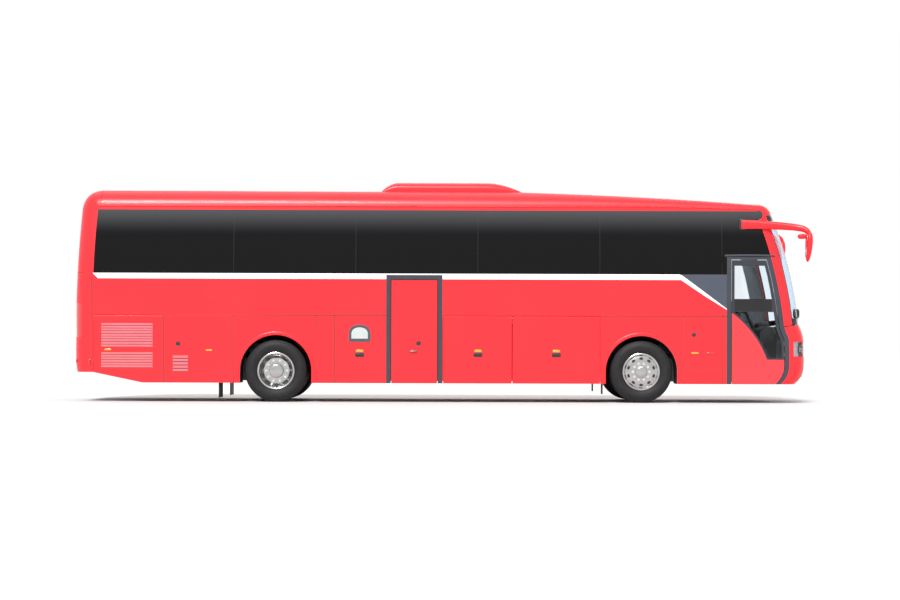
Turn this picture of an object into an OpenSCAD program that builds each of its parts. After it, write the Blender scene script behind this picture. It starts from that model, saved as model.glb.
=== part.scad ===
// Two-axle coach bus with a high passenger deck, luggage bays below it and a rear engine.
// Millimetres: +X is forward, +Y is the driver's left, +Z is up and the ground is at Z = 0.

/* [Body] */
// Length from the rear panel to the front bumper
body_l = 12000; // [11600:10:12400]
// Width over the side panels
body_w = 2500; // [2440:10:2560]
// Height of the roof crown above the ground
roof_z = 3480; // [3440:5:3540]
// Height of the skirt's lower edge
skirt_z = 308; // [280:1:340]
// Thickness of the side walls
wall_t = 50; // [40:1:60]
// Thickness of the moulded front, roof and rear panels
shell_t = 42; // [32:1:50]
// Visible seam between neighbouring panels
seam = 7; // [6:0.5:10]

/* [Glazing] */
// Height of the lower edge of the side glass
waist_z = 2085; // [2040:5:2130]
// Depth of the roof edge above the side glass
cant_drop = 358; // [350:1:380]
// Thickness of the bonded glass
glass_t = 10; // [8:0.5:14]
// Spacing of the side panes
pane_pitch = 1979; // [1900:1:2020]
// Width of a body pillar behind the glass
pillar_w = 120; // [80:5:160]

/* [Skirt] */
// Height of the seam above the luggage flaps
belt_z = 1405; // [1380:1:1440]
// Thickness of a hinged flap
flap_t = 28; // [22:1:36]
// Top of the passenger floor
floor_z = 1330; // [1300:5:1350]

/* [Doors] */
// Width of the front door opening at its foot
front_door_w = 826; // [760:2:860]
// Height of the front door's head
front_door_z = 2330; // [2280:5:2380]
// Width of the middle door opening
mid_door_w = 762; // [700:2:800]
// Height of the middle door's head
mid_door_z = 1990; // [1950:5:2020]
// Width of the dark door frames
frame_w = 74; // [60:1:90]
// Thickness of the door leaves
leaf_t = 44; // [36:1:50]
// Length of a door's swing arm
arm_l = 400; // [360:5:420]

/* [Running gear] */
// Distance between the axles
wheelbase = 5930; // [5800:10:6050]
// Distance from the front bumper to the front axle
front_overhang = 2770; // [2720:5:2800]
// Outside diameter of a tyre
tyre_d = 1010; // [980:2:1030]
// Width of a tyre
tyre_w = 278; // [260:1:290]
// Diameter of the tyre's seat on the rim
rim_d = 572; // [560:1:580]
// Inset of the outer tyre wall from the body side
wheel_inset = 26; // [20:1:40]
// Gap between the twin tyres
twin_gap = 48; // [40:1:60]
// Radius of the wheel arches
arch_r = 580; // [565:1:595]

/* [Hidden] */
$fn = 96;
x_front = body_l / 2;
x_rear = -body_l / 2;
half_w = body_w / 2;
front_x = x_front - front_overhang;
rear_x = front_x - wheelbase;
axle_z = tyre_d / 2;
cant_z = roof_z - cant_drop;
// Clearances: pieces that rest on each other, bonded panels, turning pins, swinging leaves
touch = 0.3;
butt = 0.5;
run_gap = 0.05;

// Side section: upright to bend_z, then an inward arc of radius lean_r
bend_z = 1990;
lean_r = 7000;
function side_y(z) = half_w - (z > bend_z ? lean_r - sqrt(lean_r^2 - (z - bend_z)^2) : 0);

// Front end: setback of the chin, heights of the nose, windscreen foot and its setback
chin_back = 150;
nose_z = 600;
brow_z = 1000;
screen_z = 1300;
screen_back = 92;
// Windscreen head, roof shoulder and crest: distance behind the front, depth below the crown
header_back = 555;
header_drop = 360;
shoulder_back = 900;
shoulder_drop = 192;
crest_back = 4700;
crest_drop = 12;
// Rear end: roof edge, upper corner, flat panel, bumper and chin
tail_in = 440;
corner_in = 85;
corner_drop = 330;
panel_z = 1500;
bumper_z = 640;
rear_chin_z = 476;
rear_chin_in = 20;
// Crown radii of the front, roof and rear, and radii of their edges
front_crown = 5000;
roof_crown = 11000;
rear_crown = 25000;
front_edge = 270;
shoulder_edge = 90;
rear_edge = 300;
// Centre line of the moulded skin, from the front chin over the roof to the rear chin.
// Columns: x, z, bulge towards the next row, crown radius, edge radius
PROFILE = [
    [x_front - chin_back, skirt_z, 38, front_crown, front_edge],
    [x_front - 2, nose_z, 2, front_crown, front_edge],
    [x_front - 4, brow_z, 14, front_crown, front_edge],
    [x_front - screen_back, screen_z, 68, front_crown, front_edge],
    [x_front - header_back, roof_z - header_drop, 62, front_crown + 200, front_edge],
    [x_front - shoulder_back, roof_z - shoulder_drop, 22, roof_crown - 2000, shoulder_edge],
    [x_front - crest_back, roof_z - crest_drop, 3, roof_crown, rear_edge],
    [x_rear + tail_in, roof_z, 92, roof_crown, rear_edge + 15],
    [x_rear + corner_in, roof_z - corner_drop, 12, rear_crown - 5000, rear_edge],
    [x_rear, panel_z, 0.5, rear_crown, rear_edge],
    [x_rear, bumper_z, 0.5, rear_crown, rear_edge],
    [x_rear + rear_chin_in, rear_chin_z, 0, rear_crown, rear_edge]];
// Rows of that line at the windscreen's foot and head, and at the rear end of the roof
V_SCREEN = 3;
V_HEADER = 4;
V_REAR = 7;
V_END = len(PROFILE) - 1;
// Samples of the skin per row, the same for every panel so that their edges agree
FINE = 4;

function row(v) = min(floor(v), V_END - 1);
function along(v, column) =
    let (i = row(v), f = v - i) PROFILE[i][column] * (1 - f) + PROFILE[i + 1][column] * f;
function line_at(v) =
    let (i = row(v), f = v - i,
         a = [PROFILE[i][0], PROFILE[i][1]], b = [PROFILE[i + 1][0], PROFILE[i + 1][1]],
         d = b - a, out = [d[1], -d[0]] / norm(d))
    a + f * d + out * 4 * PROFILE[i][2] * f * (1 - f);
// Outward direction. It is level at both ends so that the lower edges stay level across the coach
function tilt(v) = v < 2 ? 0 : v < 3 ? v - 2 : v > 10 ? 0 : v > 9 ? 10 - v : 1;
function line_out(v) =
    let (e = 0.08, d = line_at(min(v + e, V_END)) - line_at(max(v - e, 0)), n = [d[1], -d[0] * tilt(v)])
    n / norm(n);

// Across the skin: a crown arc, then an edge arc that meets the side wall at its own lean
function edge_in(rc, re, w, lean) = let (yc = w - re * cos(lean)) sqrt((rc - re)^2 - yc^2) - rc;
function skin_end(v) =
    let (rc = along(v, 3), re = along(v, 4), p = line_at(v), n = line_out(v),
         z = p[1] + n[1] * edge_in(rc, re, half_w, 0))
    [side_y(z), z > bend_z ? asin((z - bend_z) / lean_r) * max(n[1], 0) : 0];
// A point of the skin. s runs from -1 (right edge) to 1 (left edge); inset is the depth below it,
// level at the edges so that they lie flat on the side walls
function skin(v, s, inset = 0) =
    let (rc = along(v, 3), re = along(v, 4), p = line_at(v), n = line_out(v), e = skin_end(v),
         w = e[0], lean = e[1], yc = w - re * cos(lean), nc = edge_in(rc, re, w, lean),
         joint = asin(yc / (rc - re)), t = abs(s),
         a = t < 0.5 ? 2 * t * joint : joint + (2 * t - 1) * (90 - lean - joint),
         b = t < 1 ? a : 90,
         y = (t < 0.5 ? rc * sin(a) : yc + re * sin(a)) - inset * sin(b),
         d = (t < 0.5 ? rc * cos(a) - rc : nc + re * cos(a)) - inset * cos(b))
    [p[0] + n[0] * d, sign(s) * y, p[1] + n[1] * d];
// Where the skin meets the side wall, in X and Z, moved in by gap
function skin_edge(v, gap = 0) =
    let (q = skin(v, 1), n = line_out(v)) [q[0] - gap * n[0], q[2] - gap * n[1]];

// One moulded panel: the skin between two rows and two edges, t thick below depth top
module panel(v0, v1, nv, s0, s1, ns, t, top = 0) {
    m = ns + 1;
    count = (nv + 1) * m;
    function at(i, j, inset) = skin(v0 + (v1 - v0) * i / nv, s0 + (s1 - s0) * j / ns, inset);
    points = [for (inset = [top, top + t]) for (i = [0:nv]) for (j = [0:ns]) at(i, j, inset)];
    skins = [for (i = [0:nv - 1]) for (j = [0:ns - 1]) let (a = i * m + j, b = a + 1, c = b + m, d = a + m)
        each [[a, b, c], [a, c, d], [count + a, count + c, count + b], [count + a, count + d, count + c]]];
    ends = [for (j = [0:ns - 1]) let (a = j, b = j + 1, c = nv * m + j, d = c + 1)
        each [[a, count + a, count + b], [a, count + b, b], [c, d, count + d], [c, count + d, count + c]]];
    sides = [for (i = [0:nv - 1]) let (a = i * m, b = a + m, c = a + ns, d = c + m)
        each [[a, b, count + b], [a, count + b, count + a], [c, count + c, count + d], [c, count + d, d]]];
    polyhedron(points, concat(skins, ends, sides));
}

// Extrusions of a drawing: YZ along X, XZ along Y
module along_x(x0, x1) translate([x0, 0, 0]) rotate([90, 0, 90]) linear_extrude(x1 - x0) children();
module along_y(y0, y1) translate([0, y1, 0]) rotate([90, 0, 0]) linear_extrude(y1 - y0) children();
module box(low, high) translate(low) cube(high - low);
module both_sides() { children(); mirror([0, 1, 0]) children(); }

// Right side wall in section, between two depths below the skin
module wall_section(top, t, z0, z1) {
    lean_y = lean_r - half_w;
    if (z0 < bend_z) translate([-half_w + top, z0]) square([t, min(z1, bend_z) - z0]);
    if (z1 > bend_z) intersection() {
        difference() {
            translate([lean_y, bend_z]) circle(lean_r - top, $fn = 720);
            translate([lean_y, bend_z]) circle(lean_r - top - t, $fn = 720);
        }
        translate([-half_w, max(z0, bend_z)]) square([half_w / 2, z1 - max(z0, bend_z)]);
    }
}
// Outline of the side wall inside the moulded skin, seen from the side
module side_outline(gap) {
    edge = [for (i = [0:FINE * V_END]) skin_edge(i / FINE, gap)];
    polygon(concat([[edge[0][0], skirt_z]], edge, [[rear_rise_x, skirt_z]]));
}
// The same, for the front edge alone
module front_outline(gap) {
    edge = [for (i = [0:FINE * V_HEADER]) skin_edge(i / FINE, gap)];
    top = edge[FINE * V_HEADER];
    polygon(concat([[front_x, skirt_z - 10], [edge[0][0], skirt_z - 10]], edge,
        [[top[0], roof_z], [front_x, roof_z]]));
}
module side_strip(top, t, z0, z1) intersection() {
    along_x(x_rear, x_front) wall_section(top, t, z0, z1);
    along_y(-half_w - 1, 0) side_outline(butt);
}

// Doors and their frames
rear_rise_x = x_rear + 1140;
front_jamb_x = front_x + 1455;
mid_jamb_x = rear_x + 1864;
front_frame_z = front_door_z + 40;
leaf_gap = 10;
module front_door_outline(gap) intersection() {
    front_outline(frame_w + gap);
    translate([front_jamb_x + gap, skirt_z - 1]) square([front_door_w + 400, front_door_z - gap - skirt_z + 1]);
}
module mid_door_outline(gap)
    translate([mid_jamb_x + gap, skirt_z - 1]) square([mid_door_w - 2 * gap, mid_door_z - gap - skirt_z + 1]);

// Hinged flaps. Columns: name, side (-1 right, 1 left), rear x, front x
bay_x0 = rear_x + 953;
bay_x1 = front_x - 666;
door_bay_x = mid_jamb_x + mid_door_w + frame_w + seam;
engine_x0 = x_rear + 345;
// Share of the side behind the rear arch that the engine flaps take
engine_flap_share = 0.478;
engine_x1 = engine_x0 + engine_flap_share * (rear_x - arch_r - engine_x0);
left_third = (bay_x1 - bay_x0) / 3;
FLAPS = [
    ["luggage_flap_right_rear", -1, door_bay_x, door_bay_x + (bay_x1 - door_bay_x) * 0.44],
    ["luggage_flap_right_front", -1, door_bay_x + (bay_x1 - door_bay_x) * 0.44, bay_x1],
    ["luggage_flap_left_rear", 1, bay_x0, bay_x0 + left_third],
    ["luggage_flap_left_mid", 1, bay_x0 + left_third, bay_x1 - left_third],
    ["luggage_flap_left_front", 1, bay_x1 - left_third, bay_x1],
    ["engine_flap_right", -1, engine_x0, engine_x1],
    ["engine_flap_left", 1, engine_x0, engine_x1]];
hinge_y = half_w - flap_t / 2;
hinge_z = belt_z - flap_t / 2 - seam;
hinge_r = 6;
function flap_row(name) = [for (f = FLAPS) if (f[0] == name) f][0];
module flap_opening(f) box([f[2], -half_w - 1, skirt_z - 1], [f[3], -half_w + wall_t + 1, belt_z]);

// Side glass, counted from the front. The panes meet over the body pillars
pane_x = front_x + 1301;
pane_count = 6;
glass_gap = 4;
function pane_rear(i) = i == pane_count - 1 ? x_rear : pane_x - i * pane_pitch;
function pane_front(i) = i == 0 ? x_front : pane_x - (i - 1) * pane_pitch;
// The driver's window reaches lower than the rest
driver_sill_z = waist_z - 445;
function sill(i, door_side) = i == 0 && !door_side ? driver_sill_z : waist_z;
module pane_box(i, gap, door_side) difference() {
    translate([pane_rear(i) + gap, sill(i, door_side) + gap])
        square([pane_front(i) - pane_rear(i) - 2 * gap, cant_z - sill(i, door_side) - 2 * gap]);
    if (door_side && i == 0) translate([front_jamb_x - frame_w - gap, 0])
        square([front_overhang, front_frame_z + gap]);
}
// Openings behind the panes
module window_openings(door_side) {
    rear_limit = engine_x0 + pillar_w;
    intersection() {
        for (i = [0:pane_count - 1]) pane_box(i, pillar_w / 2, door_side);
        front_outline(pillar_w);
        translate([rear_limit, 0]) square([body_l, roof_z]);
    }
}

module right_wall(door_side) difference() {
    union() {
        side_strip(0, wall_t, skirt_z, waist_z);
        side_strip(glass_t + touch, wall_t - glass_t - touch, waist_z, roof_z);
    }
    along_y(-half_w - 1, -half_w + 300) window_openings(door_side);
    if (!door_side) along_x(pane_x, x_front + 1) wall_section(-1, glass_t + touch + 1, driver_sill_z, waist_z);
    for (x = [front_x, rear_x]) {
        translate([x, -half_w + wall_t + 1, axle_z]) rotate([90, 0, 0]) cylinder(r = arch_r, h = wall_t + 2);
        box([x - arch_r, -half_w - 1, 0], [x + arch_r, -half_w + wall_t + 1, axle_z]);
    }
    for (f = FLAPS) if ((f[1] < 0) == door_side) flap_opening(f);
    if (door_side) along_y(-half_w - 1, -half_w + wall_t + 60) {
        translate([front_jamb_x - frame_w - touch, 0]) square([front_overhang, front_frame_z + touch]);
        translate([mid_jamb_x - frame_w - touch, 0])
            square([mid_door_w + 2 * (frame_w + touch), mid_door_z + frame_w + touch]);
    }
}
module side_wall_right() { color("crimson") right_wall(true); }
module side_wall_left() { color("crimson") mirror([0, 1, 0]) right_wall(false); }

module right_glass(door_side) for (i = [0:pane_count - 1]) intersection() {
    along_x(x_rear, x_front) wall_section(0, glass_t, sill(i, door_side), cant_z);
    along_y(-half_w - 1, 0) intersection() {
        pane_box(i, glass_gap / 2, door_side);
        side_outline(butt);
    }
}
module side_glass() {
    color("#1c1e20") {
        right_glass(true);
        mirror([0, 1, 0]) right_glass(false);
    }
}

// Moulded front: mask, lamps, windscreen and its posts
v_butt = 0.001;
s_butt = 0.0006;
s_post = 0.8;
lamp_z0 = 760;
lamp_z1 = 1000;
lamp_y = 800;
lamp_back = 300;
tow_y = -540;
tow_z = 490;
tow_r = 20;
// Air intake across the bumper. The mask is in four mouldings around it
intake_y = 640;
intake_z0 = 420;
intake_z1 = 560;
module front_skin(t, top = 0) panel(0, V_SCREEN - v_butt, FINE * V_SCREEN, -1, 1, 20, t, top);
module lamp_prism(gap) both_sides()
    box([x_front - lamp_back, -half_w, lamp_z0 + gap], [x_front + 50, -lamp_y - gap, lamp_z1 - gap]);
module mask_part(y0, y1, z0, z1) intersection() {
    front_skin(shell_t);
    box([front_x, y0, z0], [x_front + 50, y1, z1]);
}
module front_mask() {
    color("crimson") {
        mask_part(-half_w, half_w, 0, intake_z0);
        difference() {
            mask_part(-half_w, half_w, intake_z1, roof_z);
            lamp_prism(0);
        }
        for (y = [[-half_w, -intake_y], [intake_y, half_w]]) mask_part(y[0], y[1], intake_z0 + butt, intake_z1 - butt);
    }
}
module headlamps() { color("white") intersection() { front_skin(shell_t - 2, 1); lamp_prism(butt); } }
module windscreen() {
    color("#9fb4c4") panel(V_SCREEN, V_HEADER - v_butt / 3, FINE, -s_post, s_post, round(20 * s_post), glass_t);
}
// Joints between a windscreen post and the side wall, and, in rows, between its head and the roof
post_gap = 0.5;
v_post = 0.0025;
module right_post(t, top = 0)
    panel(V_SCREEN, V_HEADER - v_post, FINE, -1, -s_post - s_butt, round(10 * (1 - s_post)), t, top);
module a_pillars() {
    color("crimson") both_sides() difference() {
        right_post(shell_t);
        translate([post_gap, 0, post_gap]) along_y(-half_w - 1, 0) side_outline(butt);
    }
}
wiper_t = 14;
module wipers() {
    color("#202020") for (reach = [[-0.6, -0.1], [0, 0.5]]) {
        panel(V_SCREEN + 0.05, V_SCREEN + 0.064, 1, reach[0], reach[1], 5, wiper_t, 2 - wiper_t);
        panel(V_SCREEN + 0.012, V_SCREEN + 0.0505, 1, reach[1] - 0.04, reach[1] - 0.02, 1, wiper_t, -wiper_t);
    }
}

// Roof and rear
module roof() {
    color("crimson") panel(V_HEADER, V_REAR, FINE * (V_REAR - V_HEADER), -1, 1, 20, shell_t);
}
rear_glass_y = 930;
rear_glass_z0 = 2130;
rear_glass_drop = 520;
rear_glass_z1 = roof_z - rear_glass_drop;
hatch_y = 900;
hatch_z0 = 690;
hatch_z1 = 1880;
hatch_head = 32;
tail_y = 1000;
tail_z0 = 1040;
tail_z1 = 1590;
module rear_skin(t, top = 0)
    panel(V_REAR + v_butt, V_END, FINE * (V_END - V_REAR), -1, 1, 20, t, top);
module rear_prism(y0, y1, z0, z1) box([x_rear - 20, y0, z0], [x_rear + 700, y1, z1]);
module rear_cap() {
    color("crimson") difference() {
        rear_skin(shell_t);
        rear_prism(-rear_glass_y, rear_glass_y, rear_glass_z0, rear_glass_z1);
        rear_prism(-hatch_y, hatch_y, hatch_z0, hatch_z1);
        both_sides() rear_prism(-half_w - 1, -tail_y, tail_z0, tail_z1);
    }
}
module rear_window() {
    color("#1c1e20") intersection() {
        rear_skin(glass_t);
        rear_prism(-rear_glass_y + butt, rear_glass_y - butt, rear_glass_z0 + butt, rear_glass_z1 - butt);
    }
}
module tail_lamps() {
    color("darkred") both_sides() intersection() {
        rear_skin(shell_t - 2, 1);
        rear_prism(-half_w - 1, -tail_y - butt, tail_z0 + butt, tail_z1 - butt);
    }
}
module engine_hatch() {
    color("crimson") intersection() {
        rear_skin(shell_t);
        rear_prism(-hatch_y + seam, hatch_y - seam, hatch_z0 + seam, hatch_z1 - hatch_head);
    }
}
// Hinge of the hatch, in a gap across the rear panel's outer face
hatch_hinge_x = x_rear + 7;
hatch_hinge_z = hatch_z1 - hatch_head / 2;
hatch_hinge_y = 480;
barrel_r = 10;
knuckle_w = 80;
module hatch_round(y0, y1, r) translate([hatch_hinge_x, y1, hatch_hinge_z]) rotate([90, 0, 0])
    cylinder(r = r, h = y1 - y0);
module hatch_straps() {
    y0 = -hatch_hinge_y - knuckle_w / 2;
    y1 = -hatch_hinge_y + knuckle_w / 2;
    color("#26282b") both_sides() difference() {
        union() {
            hatch_round(y0, y1, barrel_r);
            box([hatch_hinge_x - 7, y0, hatch_hinge_z - 150], [hatch_hinge_x + 9, y1, hatch_hinge_z]);
        }
        hatch_round(y0 - 1, y1 + 1, hinge_r + run_gap);
    }
}
module hatch_hinges() {
    pin_reach = knuckle_w / 2 + 32;
    color("#26282b") both_sides() {
        hatch_round(-hatch_hinge_y - pin_reach, -hatch_hinge_y + pin_reach, hinge_r);
        for (y = [-hatch_hinge_y - pin_reach, -hatch_hinge_y + pin_reach - 26]) {
            hatch_round(y, y + 26, barrel_r);
            box([hatch_hinge_x - 7, y, hatch_hinge_z], [hatch_hinge_x + 9, y + 26, hatch_hinge_z + 90]);
        }
    }
}

// Roof air conditioner
ac_l = 2380;
ac_x1 = x_front - crest_back + 50;
ac_x0 = ac_x1 - ac_l;
ac_half = 860;
ac_h = 125;
module roof_unit() {
    mid = line_at(V_REAR - 0.834);
    rise = line_at(V_REAR - 0.667) - line_at(V_REAR - 1);
    crown_r = PROFILE[V_REAR][3];
    color("crimson") difference() {
        along_y(-ac_half, ac_half) polygon([[ac_x0, roof_z - 80], [ac_x0 + 90, roof_z + ac_h - 50],
            [ac_x0 + 330, roof_z + ac_h], [ac_x1 - 500, roof_z + ac_h], [ac_x1 - 60, roof_z + 20],
            [ac_x1, roof_z - 80]]);
        translate([mid[0], 0, mid[1]]) rotate([0, 90 - atan(rise[1] / rise[0]), 0])
            translate([crown_r, 0, -body_l / 4]) cylinder(r = crown_r + 2 * touch, h = body_l / 2, $fn = 720);
    }
}

// Front door: an upper light, and a lower light below a band, cut off along a falling arc
light_x = front_jamb_x + leaf_gap + 40;
band_z0 = 1480;
band_z1 = 1690;
light_z0 = 735;
light_z1 = front_door_z - 100;
arc_r = 1658;
module door_lights(gap) intersection() {
    front_outline(frame_w + leaf_gap + 46 + gap);
    union() {
        translate([light_x + gap, band_z1 + gap]) square([front_overhang, light_z1 - band_z1 - 2 * gap]);
        difference() {
            translate([light_x + gap, light_z0 + gap]) square([front_overhang, band_z0 - light_z0 - 2 * gap]);
            translate([front_jamb_x - 952, 152]) circle(r = arc_r + gap, $fn = 360);
        }
    }
}
// Swing arms. A post turns at the rear jamb and its two arms carry the leaf, which stays parallel
post_r = 20;
post_in = 150;
post_y = -half_w + 130;
pin_r = 12;
arm_t = 30;
lug_t = 25;
front_arms_z = [600, 1570];
mid_arms_z = [620, 1750];
module leaf_lugs(jamb_x, heights) for (z = heights) difference() {
    union() {
        box([jamb_x + post_in + arm_l - 25, -half_w + leaf_t - 1, z + arm_t / 2 + 5],
            [jamb_x + post_in + arm_l + 25, post_y, z + arm_t / 2 + 5 + lug_t]);
        translate([jamb_x + post_in + arm_l, post_y, z + arm_t / 2 + 5]) cylinder(r = 25, h = lug_t);
    }
    translate([jamb_x + post_in + arm_l, post_y, z]) cylinder(r = pin_r + run_gap, h = 200);
}
module swing_arms(jamb_x, heights) translate([jamb_x + post_in, post_y, 0]) {
    translate([0, 0, heights[0] - 90]) cylinder(r = post_r, h = heights[1] - heights[0] + 180);
    for (z = heights) {
        translate([0, 0, z - arm_t / 2]) cylinder(r = 32, h = arm_t);
        box([0, -arm_t / 2, z - arm_t / 2], [arm_l, arm_t / 2, z + arm_t / 2]);
        translate([arm_l, 0, z - arm_t / 2]) cylinder(r = 22, h = arm_t);
        translate([arm_l, 0, z]) cylinder(r = pin_r, h = arm_t / 2 + 5 + lug_t);
    }
}
module post_brackets(jamb_x, heights) for (z = [heights[0] - 85, heights[1] + 65]) difference() {
    union() {
        box([jamb_x - frame_w, -half_w + wall_t - 10, z], [jamb_x, post_y + 30, z + 20]);
        box([jamb_x - 1, -half_w + leaf_t + 12, z], [jamb_x + post_in, post_y + 30, z + 20]);
        translate([jamb_x + post_in, post_y, z]) cylinder(r = 30, h = 20);
    }
    translate([jamb_x + post_in, post_y, z - 1]) cylinder(r = post_r + run_gap, h = 22);
}
module front_door() {
    color("crimson") {
        difference() {
            intersection() {
                along_x(front_jamb_x, x_front) wall_section(0, leaf_t, skirt_z, front_door_z);
                along_y(-half_w - 1, 0) front_door_outline(leaf_gap);
            }
            along_y(-half_w - 1, 0) door_lights(0);
        }
        leaf_lugs(front_jamb_x, front_arms_z);
    }
}
module front_door_glass() {
    color("#39424c") intersection() {
        along_x(front_jamb_x, x_front) wall_section(3, glass_t, skirt_z, front_door_z);
        along_y(-half_w - 1, 0) door_lights(touch);
    }
}
module front_door_arms() { color("#26282b") swing_arms(front_jamb_x, front_arms_z); }
module mid_door() {
    color("crimson") {
        intersection() {
            along_x(mid_jamb_x, mid_jamb_x + mid_door_w) wall_section(0, leaf_t, skirt_z, mid_door_z);
            along_y(-half_w - 1, 0) mid_door_outline(leaf_gap);
        }
        leaf_lugs(mid_jamb_x, mid_arms_z);
    }
}
module mid_door_arms() { color("#26282b") swing_arms(mid_jamb_x, mid_arms_z); }
frame_proud = 4;
module door_frames() {
    color("#3a3d44") {
        difference() {
            intersection() {
                along_x(front_jamb_x - frame_w, x_front) wall_section(-frame_proud, wall_t, skirt_z, front_frame_z);
                along_y(-half_w - 9, 0) front_outline(butt);
            }
            along_y(-half_w - 9, 0) front_door_outline(0);
        }
        difference() {
            along_x(mid_jamb_x - frame_w, mid_jamb_x + mid_door_w + frame_w)
                wall_section(-frame_proud, wall_t, skirt_z, mid_door_z + frame_w);
            along_y(-half_w - 9, 0) mid_door_outline(0);
        }
        post_brackets(front_jamb_x, front_arms_z);
        post_brackets(mid_jamb_x, mid_arms_z);
    }
}

// Luggage and engine flaps, each hung from a round top edge that turns on a rod
module right_flap(f) difference() {
    union() {
        intersection() {
            box([f[2] + seam, -half_w, skirt_z], [f[3] - seam, -half_w + flap_t, hinge_z]);
            along_y(-half_w - 1, 0) side_outline(butt);
        }
        translate([f[2] + seam, -hinge_y, hinge_z]) rotate([0, 90, 0])
            cylinder(r = flap_t / 2, h = f[3] - f[2] - 2 * seam);
    }
    translate([f[2], -hinge_y, hinge_z]) rotate([0, 90, 0]) cylinder(r = hinge_r + run_gap, h = f[3] - f[2]);
}
module flap(name) {
    f = flap_row(name);
    color("crimson") if (f[1] < 0) right_flap(f); else mirror([0, 1, 0]) right_flap(f);
}
module flap_rods() {
    color("#26282b") {
        for (r = [[-1, door_bay_x, bay_x1], [1, bay_x0, bay_x1], [-1, engine_x0, engine_x1], [1, engine_x0, engine_x1]])
            translate([r[1] + touch, r[0] * hinge_y, hinge_z]) rotate([0, 90, 0])
                cylinder(r = hinge_r, h = r[2] - r[1] - 2 * touch);
    }
}

// Mirrors on long side arms
mirror_z = cant_z - 297;
mirror_x0 = front_x + 1611;
mirror_x1 = x_front - 10;
mirror_h = 474;
module rounded(w, h, r) {
    translate([r, 0]) square([w - 2 * r, h]);
    translate([0, r]) square([w, h - 2 * r]);
    for (x = [r, w - r]) for (y = [r, h - r]) translate([x, y]) circle(r = r);
}
module mirrors() {
    color("crimson") both_sides() {
        difference() {
            along_y(-half_w - 40, -half_w + 80) polygon([[mirror_x0, mirror_z], [mirror_x0 + 420, mirror_z - 10],
                [mirror_x1 - 355, mirror_z - 20], [mirror_x1 - 110, mirror_z - 60], [mirror_x1 - 40, mirror_z - 60],
                [mirror_x1 - 40, mirror_z + 5], [mirror_x1 - 112, mirror_z + 47], [mirror_x1 - 355, mirror_z + 105],
                [mirror_x0 + 420, mirror_z + 137], [mirror_x0, mirror_z + 154]]);
            along_x(x_rear, x_front) wall_section(-touch, 300, mirror_z - 125, cant_z - 1);
            box([mirror_x1 - 500, -half_w + 40, mirror_z - 125], [x_front, -half_w + 100, cant_z]);
            right_post(200, -touch);
        }
        translate([mirror_x1 - 120, -half_w - 220, mirror_z - mirror_h - 61]) linear_extrude(mirror_h) rounded(120, 240, 45);
        translate([mirror_x1 - 120, -half_w - 40, mirror_z - 125]) cube([80, 60, 110]);
    }
}

// Wheels, built about their own axle with the outer side at +Z
tyre_y = half_w - wheel_inset - tyre_w / 2;
twin_pitch = tyre_w + twin_gap;
bead_w = 0.38 * tyre_w;
rim_r = rim_d / 2;
flange_r = rim_r + 14;
rim_t = 12;
spindle_r = 45;
axle_r = 70;
hand_holes = 10;
module ring(profile) rotate_extrude($fn = 120) polygon(profile);
module tyre_ring() {
    h = tyre_w / 2;
    r = tyre_d / 2;
    ring([[rim_r + touch, -bead_w + touch], [flange_r + 6, -bead_w + touch], [flange_r + 14, -bead_w - 14],
        [rim_r + 80, -h], [rim_r + 140, -h], [r - 28, -h + 10], [r - 8, -h + 26], [r, -h + 44],
        [r, h - 44], [r - 8, h - 26], [r - 28, h - 10], [rim_r + 140, h], [rim_r + 80, h],
        [flange_r + 14, bead_w + 14], [flange_r + 6, bead_w - touch], [rim_r + touch, bead_w - touch]]);
}
module rim_barrel() ring([[rim_r - rim_t, -bead_w - 10], [flange_r, -bead_w - 10], [flange_r, -bead_w],
    [rim_r, -bead_w], [rim_r, bead_w], [flange_r, bead_w], [flange_r, bead_w + 10], [rim_r - rim_t, bead_w + 10]]);
module hand_hole_ring(r, size, z0, z1) for (i = [0:hand_holes - 1]) rotate([0, 0, (i + 0.5) * 360 / hand_holes])
    translate([r, 0, z0]) cylinder(r = size, h = z1 - z0, $fn = 48);
// Front wheel: a nearly flush disc with a domed cap
disc_z = bead_w - 20;
module front_rim() difference() {
    union() {
        rim_barrel();
        ring([[0, disc_z], [rim_r - rim_t + 1, disc_z - 10], [rim_r - rim_t + 1, disc_z + 6], [165, disc_z + 22], [0, disc_z + 22]]);
        translate([0, 0, -20]) cylinder(r = 95, h = disc_z + 40);
        translate([0, 0, disc_z + 15]) cylinder(r = 78, h = 40);
    }
    translate([0, 0, -21]) cylinder(r = spindle_r + run_gap, h = disc_z + 24);
    hand_hole_ring(210, 27, disc_z - 30, disc_z + 40);
}
// Rear twin wheel: the outer disc is deeply dished towards the inner wheel
module twin_rim() difference() {
    union() {
        rim_barrel();
        translate([0, 0, -twin_pitch]) rim_barrel();
        ring([[axle_r, -twin_pitch / 2 + 2], [150, -twin_pitch / 2 + 2], [rim_r - rim_t + 1, -bead_w - 10],
            [rim_r - rim_t + 1, -bead_w + 8], [156, -twin_pitch / 2 + 20], [axle_r, -twin_pitch / 2 + 20]]);
        ring([[axle_r, -twin_pitch / 2 - 18], [axle_r, -twin_pitch / 2 + 2.5], [150, -twin_pitch / 2 + 2.5],
            [rim_r - rim_t + 1, -twin_pitch + bead_w + 10], [rim_r - rim_t + 1, -twin_pitch + bead_w - 8], [145, -twin_pitch / 2 - 18]]);
        translate([0, 0, -twin_pitch + 20]) cylinder(r = 120, h = twin_pitch - 20);
        cylinder(r = 105, h = 46);
    }
    translate([0, 0, -twin_pitch]) cylinder(r = axle_r + run_gap, h = twin_pitch);
    hand_hole_ring(212, 24, -twin_pitch - bead_w, 0);
}
module at_wheel(x, side) translate([x, side * tyre_y, axle_z]) rotate([side < 0 ? 90 : -90, 0, 0]) children();
module twin_tyres() { tyre_ring(); translate([0, 0, -twin_pitch]) tyre_ring(); }
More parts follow.
